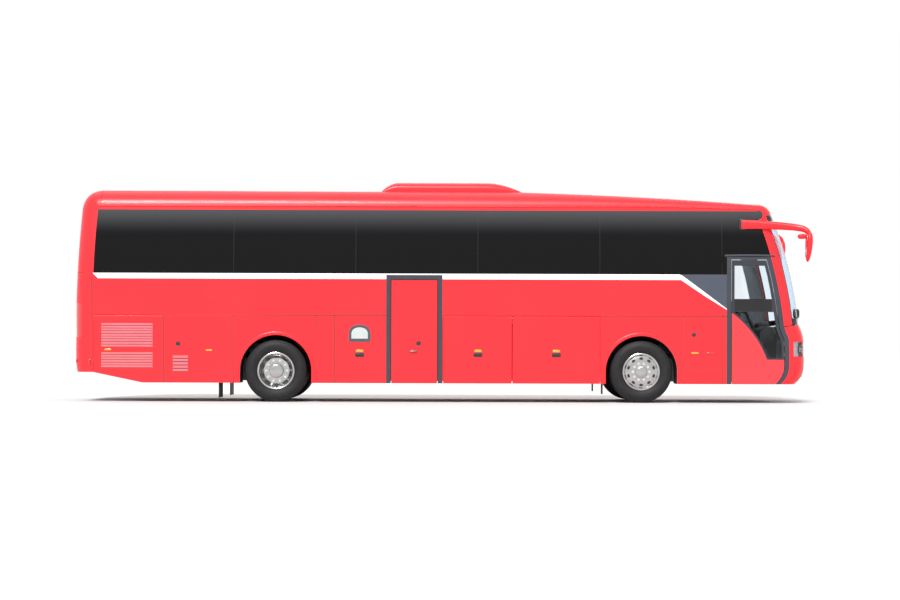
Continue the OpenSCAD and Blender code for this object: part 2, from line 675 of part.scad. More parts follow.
module tyre_front_right() { color("#2a2a2a") at_wheel(front_x, -1) tyre_ring(); }
module tyre_front_left() { color("#2a2a2a") at_wheel(front_x, 1) tyre_ring(); }
module tyres_rear_right() { color("#2a2a2a") at_wheel(rear_x, -1) twin_tyres(); }
module tyres_rear_left() { color("#2a2a2a") at_wheel(rear_x, 1) twin_tyres(); }
module rim_front_right() { color("silver") at_wheel(front_x, -1) front_rim(); }
module rim_front_left() { color("silver") at_wheel(front_x, 1) front_rim(); }
module rims_rear_right() { color("silver") at_wheel(rear_x, -1) twin_rim(); }
module rims_rear_left() { color("silver") at_wheel(rear_x, 1) twin_rim(); }

// Front axle and its steered knuckles
king_y = tyre_y - 185;
king_r = 25;
boss_h = 150;
rail_y0 = 500;
rail_y1 = 580;
rail_z0 = 800;
rail_z1 = 950;
bellows_r = 70;
module bellows(x, z0) both_sides() translate([x, -(rail_y0 + rail_y1) / 2, z0]) cylinder(r = bellows_r, h = rail_z0 - touch - z0);
module front_axle() {
    color("#333539") {
        difference() {
            union() {
                box([front_x - 60, -king_y, axle_z - 70], [front_x + 60, king_y, axle_z + 50]);
                both_sides() translate([front_x, -king_y, axle_z - boss_h / 2]) cylinder(r = 60, h = boss_h);
            }
            both_sides() translate([front_x, -king_y, axle_z - boss_h]) cylinder(r = king_r + run_gap, h = 2 * boss_h);
        }
        bellows(front_x, axle_z + 49);
    }
}
module right_knuckle() {
    translate([front_x, -king_y, axle_z]) {
        translate([0, 0, -boss_h / 2 - 60]) cylinder(r = king_r, h = boss_h + 120);
        for (z = [-boss_h / 2 - 60, boss_h / 2 + 6]) {
            translate([0, 0, z]) cylinder(r = 55, h = 54);
            box([-55, -92, z], [55, 0, z + 54]);
        }
        box([-70, -96, -boss_h / 2 - 60], [70, -68, boss_h / 2 + 60]);
        translate([0, -68, 0]) rotate([90, 0, 0]) cylinder(r = spindle_r, h = 185 + disc_z - 5 - 68);
    }
}
module knuckle_right() { color("#45484d") right_knuckle(); }
module knuckle_left() { color("#45484d") mirror([0, 1, 0]) right_knuckle(); }

// Rear axle: a tube through both twin wheels, with the differential in the middle
module rear_axle() {
    color("#333539") {
        translate([rear_x, tyre_y - 6, axle_z]) rotate([90, 0, 0]) cylinder(r = axle_r, h = 2 * tyre_y - 12);
        translate([rear_x, rail_y0 + 60, axle_z]) rotate([90, 0, 0]) cylinder(r = 110, h = 2 * rail_y0 + 120);
        translate([rear_x, 170, axle_z]) rotate([90, 0, 0]) cylinder(r = diff_r, h = 340);
        bellows(rear_x, axle_z);
    }
}

// Frame rails, with cross members, uprights to the deck and the front tow socket
deck_t = 50;
deck_y = half_w - wall_t - butt;
platform_x0 = front_jamb_x - frame_w - 10;
platform_x1 = x_front - 480;
platform_z = 900;
rear_flap_x = rear_x - 915;
rail_x0 = x_rear + 300;
member_h = 80;
module chassis_frame() {
    color("#2b2d31") {
        both_sides() {
            box([rail_x0, -rail_y1, rail_z0], [bay_x0 - board_t - touch, -rail_y0, rail_z1]);
            box([bay_x1 + board_t + touch, -rail_y1, rail_z0], [platform_x0, -rail_y0, rail_z1]);
            box([platform_x0 + touch, -rail_y1, platform_z - 200], [platform_x1, -rail_y0, platform_z - deck_t - touch]);
            for (x = [x_rear + 500, rear_x - 800, rear_x + 760, front_x - 600, front_x + 760])
                box([x, -rail_y1, rail_z1 + touch], [x + 100, -rail_y0, floor_z - deck_t - touch]);
            box([rear_flap_x, -deck_y, rail_z0 - 2 * member_h], [rear_flap_x + 60, -rail_y0, rail_z0 - touch]);
        }
        for (x = [rear_x + 660, front_x + 680])
            box([x, -deck_y, rail_z0 - member_h], [x + 60, deck_y, rail_z0 - touch]);
    }
}
// Front tow socket: a drop arm under the right rail and a round socket for a towing pin
module tow_socket() {
    color("#2b2d31") {
        box([platform_x1 - 80, tow_y - 2 * tow_r, tow_z - 2 * tow_r - 5],
            [platform_x1, tow_y + 2 * tow_r, platform_z - 200 - touch]);
        difference() {
            translate([platform_x1 + touch, tow_y, tow_z]) rotate([0, 90, 0]) cylinder(r = 2 * tow_r, h = 279);
            translate([platform_x1 + 100, tow_y, tow_z]) rotate([0, 90, 0]) cylinder(r = tow_r, h = 200);
        }
    }
}

// Luggage floor, bulkheads, wheel boxes and jacking pads
board_t = 30;
bay_z = 345;
box_clear = 40;
well_y = 515;
pad_w = 140;
module wheel_box(x0, x1, ends) both_sides() {
    z = axle_z + arch_r + box_clear;
    box([x0, -deck_y, z], [x1, -rail_y1 - 20, z + board_t]);
    for (x = ends) box([x, -deck_y, bay_z], [x + board_t, -rail_y1 - 20, z - touch]);
}
// Stretch of the floor beside the middle door's steps
well_x0 = mid_jamb_x - frame_w - 10;
well_x1 = mid_jamb_x + mid_door_w + frame_w + 10;
module underbody() {
    color("#2b2d31") {
        box([bay_x0, -deck_y, bay_z], [well_x0, deck_y, bay_z + 40]);
        box([well_x0 + touch, -well_y, bay_z], [well_x1 - touch, deck_y, bay_z + 40]);
        box([well_x1, -deck_y, bay_z], [bay_x1, deck_y, bay_z + 40]);
        for (x = [bay_x0 - board_t, bay_x1 + touch])
            box([x, -deck_y, bay_z], [x + board_t - touch, deck_y, floor_z - deck_t - touch]);
        front_end = front_x + arch_r + box_clear;
        wheel_box(bay_x1 + board_t + touch, front_end + board_t, [front_end]);
        rear_ends = [rear_x - arch_r - box_clear - board_t, rear_x + arch_r + box_clear];
        wheel_box(rear_ends[0], rear_ends[1] + board_t, rear_ends);
        for (x = [bay_x0 + 20, bay_x1 - 20 - pad_w]) both_sides()
            box([x, -1000, bay_z - 30], [x + pad_w, -1000 + pad_w, bay_z - touch]);
    }
}
module floor_deck() {
    mid_x1 = mid_jamb_x + mid_door_w;
    color("#55585c") {
        box([x_rear + 355, -deck_y, floor_z - deck_t], [mid_jamb_x, deck_y, floor_z]);
        box([mid_jamb_x + touch, -well_y, floor_z - deck_t], [mid_x1 - touch, deck_y, floor_z]);
        box([mid_x1, -deck_y, floor_z - deck_t], [platform_x0, deck_y, floor_z]);
    }
}
// Steps: two at the front door with a riser to the driver's platform, one up to the deck, three at the middle door
tread = 230;
front_tread = 292;
step_z = [430, 670];
mid_step_z = [430, 740, 1040];
module entry_steps() {
    step_x1 = front_jamb_x + front_door_w - 150;
    s0 = platform_x0 + touch;
    y0 = -deck_y + 8;
    color("#4a4c50") {
        box([front_jamb_x, y0, bay_z], [step_x1, y0 + front_tread - touch, step_z[0]]);
        box([front_jamb_x, y0 + front_tread, bay_z], [step_x1, -rail_y1 - touch, step_z[1]]);
        box([front_jamb_x, -rail_y1 - 20, step_z[1] + touch], [step_x1, -rail_y1 - touch, platform_z - deck_t - touch]);
        box([s0, -rail_y1 - 20, platform_z - deck_t], [platform_x1, deck_y, platform_z]);
        box([s0, -400, platform_z + touch], [platform_x0 + 280, 400, (platform_z + floor_z) / 2]);
        for (y = [[-deck_y, -401], [401, deck_y]])
            box([s0, y[0], platform_z + touch], [platform_x0 + 40, y[1], floor_z]);
        for (i = [0:2])
            box([mid_jamb_x + touch, i == 0 ? y0 : -deck_y + i * tread, bay_z],
                [mid_jamb_x + mid_door_w - touch, (i == 2 ? -well_y : -deck_y + (i + 1) * tread) - touch, mid_step_z[i]]);
    }
}

// Engine, as one block between the rear rails
diff_r = 215;
engine_gap = 60;
engine_tail = x_rear + 470;
// Share of the bay between the rear panel and the axle that the block fills
engine_share = 0.54;
module engine() {
    color("#6a6d70") box([engine_tail, -rail_y0 + butt, 480],
        [engine_tail + engine_share * (rear_x - diff_r - engine_gap - engine_tail), rail_y0 - butt, 1180]);
}
flap_rubber_t = 12;
module mud_flaps() {
    color("#191919") both_sides() {
        box([rear_flap_x - flap_rubber_t - touch, -deck_y + butt, 65], [rear_flap_x - touch, -rail_y1 - 50, rail_z0 - 20]);
        box([bay_x1 + board_t + touch, -deck_y + butt, 140], [bay_x1 + board_t + touch + flap_rubber_t, -920, 700]);
    }
}

// Seats: pairs on both sides of the aisle, and the driver's seat
seat_pitch = 790;
seat_w = 900;
first_seat_x = platform_x0 - 900;
// Space kept behind the last row
seat_tail = 750;
seat_rows = 1 + floor((first_seat_x - x_rear - seat_tail) / seat_pitch);
seat_l = 470;
back_t = 130;
back_z = 1150;
base_z = 340;
cushion_t = 130;
module seat(w, l) {
    box([60, -w / 2 + 100, touch], [300, w / 2 - 100, base_z - touch]);
    box([40 + touch, -w / 2, base_z], [l, w / 2, base_z + cushion_t]);
    box([40 - back_t, -w / 2, base_z], [40, w / 2, back_z]);
}
driver_y = 560;
driver_l = 430;
driver_w = 500;
module seats() {
    wall_y = deck_y - 20 - seat_w / 2;
    color("#3c4a63") {
        for (i = [0:seat_rows - 1]) {
            x = first_seat_x - i * seat_pitch;
            translate([x, wall_y, floor_z]) seat(seat_w, seat_l);
            if (x + 500 < mid_jamb_x || x - 120 > mid_jamb_x + mid_door_w)
                translate([x, -wall_y, floor_z]) seat(seat_w, seat_l);
        }
        translate([platform_x0 + 40 + back_t, driver_y, platform_z]) seat(driver_w, driver_l);
    }
}
wheel_tilt = 25;
column_l = 380;
dash_l = 310;
dash_h = 360;
module dashboard() {
    dash_x1 = platform_x1 + 60;
    color("#26282b") {
        box([dash_x1 - dash_l, -300, platform_z + touch], [dash_x1, deck_y - 120, platform_z + dash_h]);
        box([dash_x1 - dash_l + 50, driver_y - 150, platform_z + dash_h - 1], [dash_x1, driver_y + 150, platform_z + dash_h + 80]);
        translate([dash_x1 - dash_l + 40, driver_y, platform_z + dash_h - 30]) rotate([0, -wheel_tilt, 0]) {
            cylinder(r = 30, h = column_l);
            translate([0, 0, column_l - 20]) cylinder(r = 70, h = 20);
            translate([0, 0, column_l - 10]) rotate_extrude($fn = 72) translate([220, 0]) circle(r = 14, $fn = 24);
            for (a = [0, 120, 240]) rotate([0, 0, a]) box([0, -15, column_l - 18], [220, 15, column_l - 4]);
        }
    }
}

chassis_frame();
tow_socket();
underbody();
floor_deck();
entry_steps();
side_wall_right();
side_wall_left();
side_glass();
roof();
roof_unit();
front_mask();
headlamps();
windscreen();
a_pillars();
wipers();
rear_cap();
rear_window();
tail_lamps();
hatch_hinges();
flap_rods();
door_frames();
mirrors();
engine();
mud_flaps();
seats();
dashboard();
front_axle();
rear_axle();
knuckle_right();
knuckle_left();
tyre_front_right();
rim_front_right();
tyre_front_left();
rim_front_left();
tyres_rear_right();
rims_rear_right();
tyres_rear_left();
rims_rear_left();
front_door();
front_door_glass();
front_door_arms();
mid_door();
mid_door_arms();
flap("luggage_flap_right_rear");  // luggage_flap_right_rear
flap("luggage_flap_right_front");  // luggage_flap_right_front
flap("luggage_flap_left_rear");  // luggage_flap_left_rear
flap("luggage_flap_left_mid");  // luggage_flap_left_mid
flap("luggage_flap_left_front");  // luggage_flap_left_front
flap("engine_flap_right");  // engine_flap_right
flap("engine_flap_left");  // engine_flap_left
engine_hatch();
hatch_straps();
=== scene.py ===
import math

import bmesh
import bpy
import numpy as np
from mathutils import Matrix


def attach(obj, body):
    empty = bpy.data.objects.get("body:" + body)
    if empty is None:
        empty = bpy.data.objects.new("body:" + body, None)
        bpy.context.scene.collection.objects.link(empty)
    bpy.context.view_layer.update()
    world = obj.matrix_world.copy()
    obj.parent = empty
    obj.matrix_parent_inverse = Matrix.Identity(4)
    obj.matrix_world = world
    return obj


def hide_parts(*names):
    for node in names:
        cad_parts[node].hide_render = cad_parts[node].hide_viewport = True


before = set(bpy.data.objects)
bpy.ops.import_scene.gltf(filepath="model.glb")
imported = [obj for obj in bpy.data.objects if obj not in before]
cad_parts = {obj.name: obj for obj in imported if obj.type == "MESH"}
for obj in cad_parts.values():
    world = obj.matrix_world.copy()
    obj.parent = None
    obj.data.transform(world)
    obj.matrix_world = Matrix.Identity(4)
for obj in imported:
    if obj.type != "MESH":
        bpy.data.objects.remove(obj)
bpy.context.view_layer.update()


# Studio. A level camera stands 34 m from the door side, a little under a metre up, with a long lens.
# The floor is plain and pale, under a white surround, with a broad soft key from the camera's side
# and two panels, one overhead and one behind.
scene = bpy.context.scene
PHOTO_W, PHOTO_H = 900, 600
PIXELS_PER_M = 61.7
NEAR_SIDE_Y = -1.25
CAMERA_REACH = 34.0
CAMERA_X, CAMERA_Z = -0.037, 0.914
SENSOR_MM = 36.0
AXIS_PIXEL = (440.0, 346.0)
ROLL = 0.003
PANEL_GLOSS, KEY_GLOSS = 0.25, 0.03
FLOOR_REACH, FLOOR_NEAR = 90, -60

camera = bpy.data.cameras.new("camera")
camera.sensor_width = SENSOR_MM
camera.lens = PIXELS_PER_M * CAMERA_REACH / PHOTO_W * SENSOR_MM
camera.shift_x = (PHOTO_W / 2 - AXIS_PIXEL[0]) / PHOTO_W
camera.shift_y = (AXIS_PIXEL[1] - PHOTO_H / 2) / PHOTO_W
camera.clip_end = 400.0
camera_obj = bpy.data.objects.new("camera", camera)
camera_obj.location = (CAMERA_X, NEAR_SIDE_Y - CAMERA_REACH, CAMERA_Z)
camera_obj.rotation_euler = (math.pi / 2, -ROLL, 0)
scene.collection.objects.link(camera_obj)
scene.camera = camera_obj
scene.view_settings.view_transform = "Standard"


def hang_light(name, kind, place, turn, energy, gloss, **settings):
    """A studio light at a place, turned by three angles, with its own size settings."""
    light = bpy.data.lights.new(name, kind)
    light.energy = energy
    light.specular_factor = gloss
    for key, value in settings.items():
        setattr(light, key, value)
    obj = bpy.data.objects.new(name, light)
    obj.location = place
    obj.rotation_euler = turn
    scene.collection.objects.link(obj)


hang_light("light_top", "AREA", (0, 3, 13), (-0.2, 0, 0), 500, PANEL_GLOSS,
           shape="RECTANGLE", size=22, size_y=9)
hang_light("light_far_side", "AREA", (4, 17, 9), (-1.05, 0, 0.2), 300, PANEL_GLOSS,
           shape="RECTANGLE", size=18, size_y=7)
hang_light("light_key", "SUN", (-8, -20, 20), (0.78, 0, -0.24), 3.9, KEY_GLOSS, angle=0.3)
world = bpy.data.worlds.new("studio")
world.use_nodes = True
surround = world.node_tree.nodes["Background"]
surround.inputs["Color"].default_value = (1.0, 1.0, 1.0, 1)
surround.inputs["Strength"].default_value = 1.0
scene.world = world


def wire(mat, node, sockets):
    """Fill a node's sockets, each with a number, a colour or another node's output."""
    for key, value in sockets.items():
        if isinstance(value, bpy.types.NodeSocket):
            mat.node_tree.links.new(value, node.inputs[key])
        else:
            node.inputs[key].default_value = value


def add_node(mat, kind, sockets, **settings):
    """A shader node of one kind, with its own settings and its sockets filled."""
    node = mat.node_tree.nodes.new(f"ShaderNode{kind}")
    for key, value in settings.items():
        setattr(node, key, value)
    wire(mat, node, sockets)
    return node


def new_material(name):
    """A node material, its shader, and the piece's own coordinates."""
    mat = bpy.data.materials.new(name)
    mat.use_nodes = True
    place = add_node(mat, "TexCoord", {}).outputs["Object"]
    return mat, mat.node_tree.nodes["Principled BSDF"], place


def noise(mat, place, scale, detail=2.0):
    """Soft noise, from about 0 to about 1."""
    return add_node(mat, "TexNoise", {"Vector": place, "Scale": scale, "Detail": detail}).outputs["Fac"]


def tint(mat, factor, low, high):
    """Colour that runs from low to high with a factor; either end may be another node's output."""
    a, b = [end if isinstance(end, bpy.types.NodeSocket) else (*end, 1) for end in (low, high)]
    return add_node(mat, "Mix", {"Factor": factor, "A": a, "B": b}, data_type="RGBA").outputs["Result"]


def emboss(mat, shader, height, strength, depth):
    """Relief from a height signal, as the shader's normal."""
    relief = add_node(mat, "Bump", {"Height": height, "Strength": strength, "Distance": depth})
    wire(mat, shader, {"Normal": relief.outputs["Normal"]})


ROUGH_SWING = 0.06
GRAIN_DEPTH = 0.001


def mottled(name, dark, light, rough, scale=6.0, bump=0.0, bump_scale=200.0, metal=0.0, coat=0.0, gloss=0.5):
    """A finish that wanders between two near colours on soft noise, with a finer noise as relief.

    Colour = mix(dark, light, noise); roughness swings a little either side of rough.
    """
    mat, shader, place = new_material(name)
    cloud = noise(mat, place, scale, 4.0)
    swing = add_node(mat, "MapRange", {"Value": cloud, "To Min": max(rough - ROUGH_SWING, 0.02),
                                       "To Max": min(rough + ROUGH_SWING, 1.0)})
    wire(mat, shader, {"Base Color": tint(mat, cloud, dark, light), "Roughness": swing.outputs["Result"],
                       "Metallic": metal, "Coat Weight": coat, "Coat Roughness": 0.04,
                       "Specular IOR Level": gloss})
    if bump:
        emboss(mat, shader, noise(mat, place, bump_scale), bump, GRAIN_DEPTH)
    return mat


floor_mesh = bpy.data.meshes.new("floor")
floor_mesh.from_pydata([(-FLOOR_REACH, FLOOR_NEAR, 0), (FLOOR_REACH, FLOOR_NEAR, 0),
                        (FLOOR_REACH, FLOOR_REACH, 0), (-FLOOR_REACH, FLOOR_REACH, 0)], [], [(0, 1, 2, 3)])
floor_mesh.materials.append(mottled("floor_pale", (0.55, 0.55, 0.55), (0.57, 0.57, 0.57), 0.8, scale=0.4))
floor = bpy.data.objects.new("floor", floor_mesh)
scene.collection.objects.link(floor)


# Bodyshell skin. The moulded front, roof and rear are glass-fibre panels that follow one centre line,
# from the chin over the roof to the rear chin, with a crowned cross-section and rounded long edges.
BODY_HALF_L = 6.0
HALF_W = 1.25
SKIRT_Z = 0.308
ROOF_Z = 3.48
BEND_Z = 1.99
LEAN_R = 7.0
# Columns: x, z, bulge towards the next row, crown radius, edge radius
PROFILE = np.array([
    [BODY_HALF_L - 0.150, SKIRT_Z, 0.038, 5.0, 0.27],
    [BODY_HALF_L - 0.002, 0.600, 0.002, 5.0, 0.27],
    [BODY_HALF_L - 0.004, 1.000, 0.014, 5.0, 0.27],
    [BODY_HALF_L - 0.092, 1.300, 0.068, 5.0, 0.27],
    [BODY_HALF_L - 0.555, 3.120, 0.062, 5.2, 0.27],
    [BODY_HALF_L - 0.900, ROOF_Z - 0.192, 0.022, 9.0, 0.09],
    [BODY_HALF_L - 4.700, ROOF_Z - 0.012, 0.003, 11.0, 0.30],
    [-BODY_HALF_L + 0.440, ROOF_Z, 0.092, 11.0, 0.315],
    [-BODY_HALF_L + 0.085, 3.150, 0.012, 20.0, 0.30],
    [-BODY_HALF_L, 1.500, 0.0005, 25.0, 0.30],
    [-BODY_HALF_L, 0.640, 0.0005, 25.0, 0.30],
    [-BODY_HALF_L + 0.020, 0.476, 0.0, 25.0, 0.30]])
V_SCREEN, V_HEADER, V_REAR, V_END = 3.0, 4.0, 7.0, 11.0
SLOPE_STEP = 0.08
WELD = 1e-6


def side_half(z):
    """Half width of the body at height z: upright, then an inward arc."""
    rise = np.maximum(np.asarray(z) - BEND_Z, 0)
    return HALF_W - (LEAN_R - np.sqrt(LEAN_R**2 - rise**2))


def centre_line(v):
    """X and Z of the centre line: straight between rows, plus a parabola of the row's bulge."""
    i = np.clip(np.floor(v).astype(int), 0, len(PROFILE) - 2)
    f = v - i
    a, b = PROFILE[i, :2], PROFILE[i + 1, :2]
    step = b - a
    out = np.stack([step[..., 1], -step[..., 0]], -1) / np.linalg.norm(step, axis=-1, keepdims=True)
    return a + step * f[..., None] + out * (4 * PROFILE[i, 2] * f * (1 - f))[..., None]


def outward(v):
    """Unit normal of the centre line, from a small central difference, level at both lower ends."""
    step = centre_line(np.minimum(v + SLOPE_STEP, V_END)) - centre_line(np.maximum(v - SLOPE_STEP, 0))
    level = np.interp(v, [2, 3, 9, 10], [0, 1, 1, 0])
    n = np.stack([step[..., 1], -step[..., 0] * level], -1)
    return n / np.linalg.norm(n, axis=-1, keepdims=True)


def skin(v, s, inset=0.0):
    """Point of the skin, inset below it. s runs from -1 at the right edge to 1 at the left edge.

    Across: a crown arc up to |s| = 0.5, then an edge arc that ends tangent to the side wall.
    """
    v, s = np.broadcast_arrays(np.asarray(v, float), np.asarray(s, float))
    rows = np.arange(len(PROFILE))
    rc, re = np.interp(v, rows, PROFILE[:, 3]), np.interp(v, rows, PROFILE[:, 4])
    p, n = centre_line(v), outward(v)
    yc = HALF_W - re
    z_edge = p[..., 1] + n[..., 1] * (np.sqrt((rc - re)**2 - yc**2) - rc)
    w = side_half(z_edge)
    lean = np.arcsin(np.maximum(z_edge - BEND_Z, 0) / LEAN_R) * np.maximum(n[..., 1], 0)
    yc = w - re * np.cos(lean)
    nc = np.sqrt((rc - re)**2 - yc**2) - rc
    joint = np.arcsin(yc / (rc - re))
    t = np.abs(s)
    a = np.where(t < 0.5, 2 * t * joint, joint + (2 * t - 1) * (math.pi / 2 - lean - joint))
    y = np.where(t < 0.5, rc * np.sin(a), yc + re * np.sin(a)) - inset * np.sin(a)
    d = np.where(t < 0.5, rc * np.cos(a) - rc, nc + re * np.cos(a)) - inset * np.cos(a)
    return np.stack([p[..., 0] + n[..., 0] * d, np.sign(s) * y, p[..., 1] + n[..., 1] * d], -1)


def make_piece(name, verts, faces, material, body, slot, sharp=35.0, outward_faces=True, replaces=()):
    """Put arrays into a mesh, weld it, turn its faces outwards, and let it ride on a body."""
    mesh = bpy.data.meshes.new(name)
    mesh.from_pydata(np.asarray(verts, float).reshape(-1, 3).tolist(), [], [list(f) for f in faces])
    if outward_faces:
        work = bmesh.new()
        work.from_mesh(mesh)
        bmesh.ops.remove_doubles(work, verts=work.verts, dist=WELD)
        bmesh.ops.recalc_face_normals(work, faces=work.faces)
        work.to_mesh(mesh)
        work.free()
    mesh.polygons.foreach_set("use_smooth", np.ones(len(mesh.polygons), bool))
    mesh.set_sharp_from_angle(angle=math.radians(sharp))
    mesh.materials.append(material)
    obj = bpy.data.objects.new(name, mesh)
    scene.collection.objects.link(obj)
    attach(obj, body)
    for node in replaces:
        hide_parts(node)
    return obj


def shell(outer, inner, keep=None):
    """Closed solid between two grids of points, with the cells where keep is false left open.

    Each kept cell gives an outer and an inner quad; each border of the kept cells gives a rim quad.
    """
    nv, ns = outer.shape[:2]
    keep = np.ones((nv - 1, ns - 1), bool) if keep is None else keep
    ids = np.arange(nv * ns).reshape(nv, ns)
    a, b, c, d = ids[:-1, :-1], ids[:-1, 1:], ids[1:, 1:], ids[1:, :-1]
    quads = np.stack([a, b, c, d], -1)[keep]
    n = nv * ns
    faces = [quads, quads[:, ::-1] + n]
    ringed = np.pad(keep, 1)
    for first, second, neighbour in ((a, b, ringed[:-2, 1:-1]), (b, c, ringed[1:-1, 2:]),
                                     (c, d, ringed[2:, 1:-1]), (d, a, ringed[1:-1, :-2])):
        edge = keep & ~neighbour
        p, q = first[edge], second[edge]
        faces.append(np.stack([q, p, p + n, q + n], -1))
    faces = np.concatenate(faces)
    verts = np.concatenate([outer.reshape(-1, 3), inner.reshape(-1, 3)])
    used, inverse = np.unique(faces, return_inverse=True)
    return verts[used], inverse.reshape(faces.shape)


def skin_panel(name, v, s, thick, material, slot, body="body", depth=0.0, keep=None, replaces=()):
    """A moulded panel over the grid of skin rows v and places s, thick below the skin."""
    vv, ss = np.meshgrid(v, s, indexing="ij")
    verts, faces = shell(skin(vv, ss, depth), skin(vv, ss, depth + thick), keep)
    return make_piece(name, verts, faces, material, body, slot, replaces=replaces)


def fill(*stops, step=0.08):
    """A rising run of parameters through the given stops, in steps no longer than step."""
    runs = [np.linspace(a, b, max(2, int(math.ceil((b - a) / step)) + 1))[:-1]
            for a, b in zip(stops, stops[1:])]
    return np.concatenate([*runs, [stops[-1]]])


# Painted walls. The side walls, middle door and flaps are sheet steel in a light warm red enamel,
# a little uneven from the spray, with a faint orange-peel relief; the cabin side is lined in grey.
RED, RED_DEEP = (0.90, 0.026, 0.034), (0.84, 0.021, 0.028)
LINING_GREY = (0.36, 0.37, 0.39)
CABIN_MIDDLE = (0.0, 0.0, 1.9)
INWARD_LIMIT = -0.5
FLAP_NODES = ("luggage_flap_right_rear", "luggage_flap_right_front", "luggage_flap_left_rear",
              "luggage_flap_left_mid", "luggage_flap_left_front", "engine_flap_right", "engine_flap_left")
paint_red = mottled("paint_red", RED_DEEP, RED, 0.3, scale=1.3, bump=0.04, bump_scale=420.0, coat=0.06,
                    gloss=0.22)


def dress(material, *nodes):
    """Give CAD nodes a finish."""
    for node in nodes:
        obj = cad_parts[node]
        obj.data.materials.clear()
        obj.data.materials.append(material)


def reckon(mat, operation, *terms):
    """Result of one sum or comparison on numbers or other nodes' outputs."""
    return add_node(mat, "Math", dict(enumerate(terms)), operation=operation).outputs["Value"]


def lined(paint, name, lining):
    """The same paint, with a lining colour on faces that look towards the middle of the cabin.

    A face looks inwards where its normal, times its place from the cabin's middle, is well below 0.
    """
    mat = paint.copy()
    mat.name = name
    shader = mat.node_tree.nodes["Principled BSDF"]
    painted = shader.inputs["Base Color"].links[0].from_socket
    coords = add_node(mat, "TexCoord", {}).outputs
    reach = add_node(mat, "VectorMath", {0: coords["Object"], 1: CABIN_MIDDLE}, operation="SUBTRACT")
    facing = add_node(mat, "VectorMath", {0: reach.outputs["Vector"], 1: coords["Normal"]},
                      operation="DOT_PRODUCT")
    inside = reckon(mat, "LESS_THAN", facing.outputs["Value"], INWARD_LIMIT)
    wire(mat, shader, {"Base Color": tint(mat, inside, painted, lining)})
    return mat


paint_lined = lined(paint_red, "paint_lined", LINING_GREY)
dress(paint_lined, "side_wall_right", "side_wall_left", "mid_door")
dress(paint_red, *FLAP_NODES)


# Underframe and running gear. Chassis rails, axles, knuckles, door arms and hinges are steel in dark paint,
# welded or bolted up; the mud flaps behind the wheels are moulded rubber.
steel_dark = mottled("steel_dark", (0.03, 0.031, 0.034), (0.055, 0.055, 0.06), 0.55, scale=3.0,
                     bump=0.25, bump_scale=160.0)
rubber_black = mottled("rubber_black", (0.012, 0.012, 0.012), (0.022, 0.022, 0.022), 0.62, scale=9.0,
                       bump=0.2, bump_scale=300.0)
dress(steel_dark, "chassis_frame", "tow_socket", "underbody", "front_axle", "rear_axle", "knuckle_right",
      "knuckle_left", "engine", "flap_rods", "hatch_hinges", "hatch_straps", "front_door_arms",
      "mid_door_arms")
dress(rubber_black, "mud_flaps")


# Roof. One crowned moulding from the windscreen header to the rear, with rounded long edges.
# Two narrow sealed joints cross it.
SHELL_T = 0.042
HEADER_LAP, REAR_LAP = 0.006, 0.0004
LINE_T, LINE_PROUD = 0.002, 0.0005
PANE_X = 4.531
# Columns: x of the joint, half its width in skin rows
ROOF_JOINTS = {"roof_joint": (PANE_X, 0.0009), "rear_roof_joint": (-3.39, 0.0005)}
EDGE_STEPS = fill(-1, -0.5, 0.5, 1, step=0.04)
skin_panel("roof_panel", fill(V_HEADER + HEADER_LAP, 5, 6, V_REAR - REAR_LAP, step=0.06), EDGE_STEPS, SHELL_T,
           paint_lined, "paint_red", replaces=["roof"])
for name, (x, half) in ROOF_JOINTS.items():
    row = np.interp(-x, -PROFILE[5:8, 0], [5, 6, 7])
    skin_panel(name, np.array([row - half, row + half]), EDGE_STEPS, LINE_T, rubber_black, "black_trim",
               depth=-LINE_PROUD)


# Rear cap. The moulded tail with openings for the rear window, the engine hatch and the corner lamps.
# The hatch is its own panel, hung from two hinges, and the lamps wrap round the corners.
HATCH_Y, HATCH_Z = 0.9, (0.69, 1.88)
HATCH_HEAD, HATCH_GAP = 0.032, 0.007
REAR_GLASS_Y, REAR_GLASS_Z = 0.93, (2.13, 2.96)
TAIL_Y, TAIL_Z = 1.0, (1.04, 1.59)
TAIL_ROW = 9.6
tail_v = np.linspace(V_REAR + 0.5, V_END, 4000)
tail_z = skin(tail_v, 0.0)[:, 2]
half_s = np.linspace(0, 1, 2000)
tail_y = skin(TAIL_ROW, half_s)[:, 1]


def rear_v(z):
    """Skin row of a height on the tail."""
    return float(np.interp(-z, -tail_z, tail_v))


def rear_s(y):
    """Place across the tail of a distance from the middle."""
    return float(np.interp(y, tail_y, half_s))


def openings(v, s, holes):
    """Cells of the grid to keep: those whose middle lies in none of the holes (v0, v1, s0, s1)."""
    vm, sm = np.meshgrid((v[1:] + v[:-1]) / 2, (s[1:] + s[:-1]) / 2, indexing="ij")
    keep = np.ones(vm.shape, bool)
    for v0, v1, s0, s1 in holes:
        keep &= ~((vm > v0) & (vm < v1) & (sm > s0) & (sm < s1))
    return keep


def mirrored(stops):
    """Stops on both sides of the middle, rising."""
    return sorted({-x for x in stops} | set(stops))


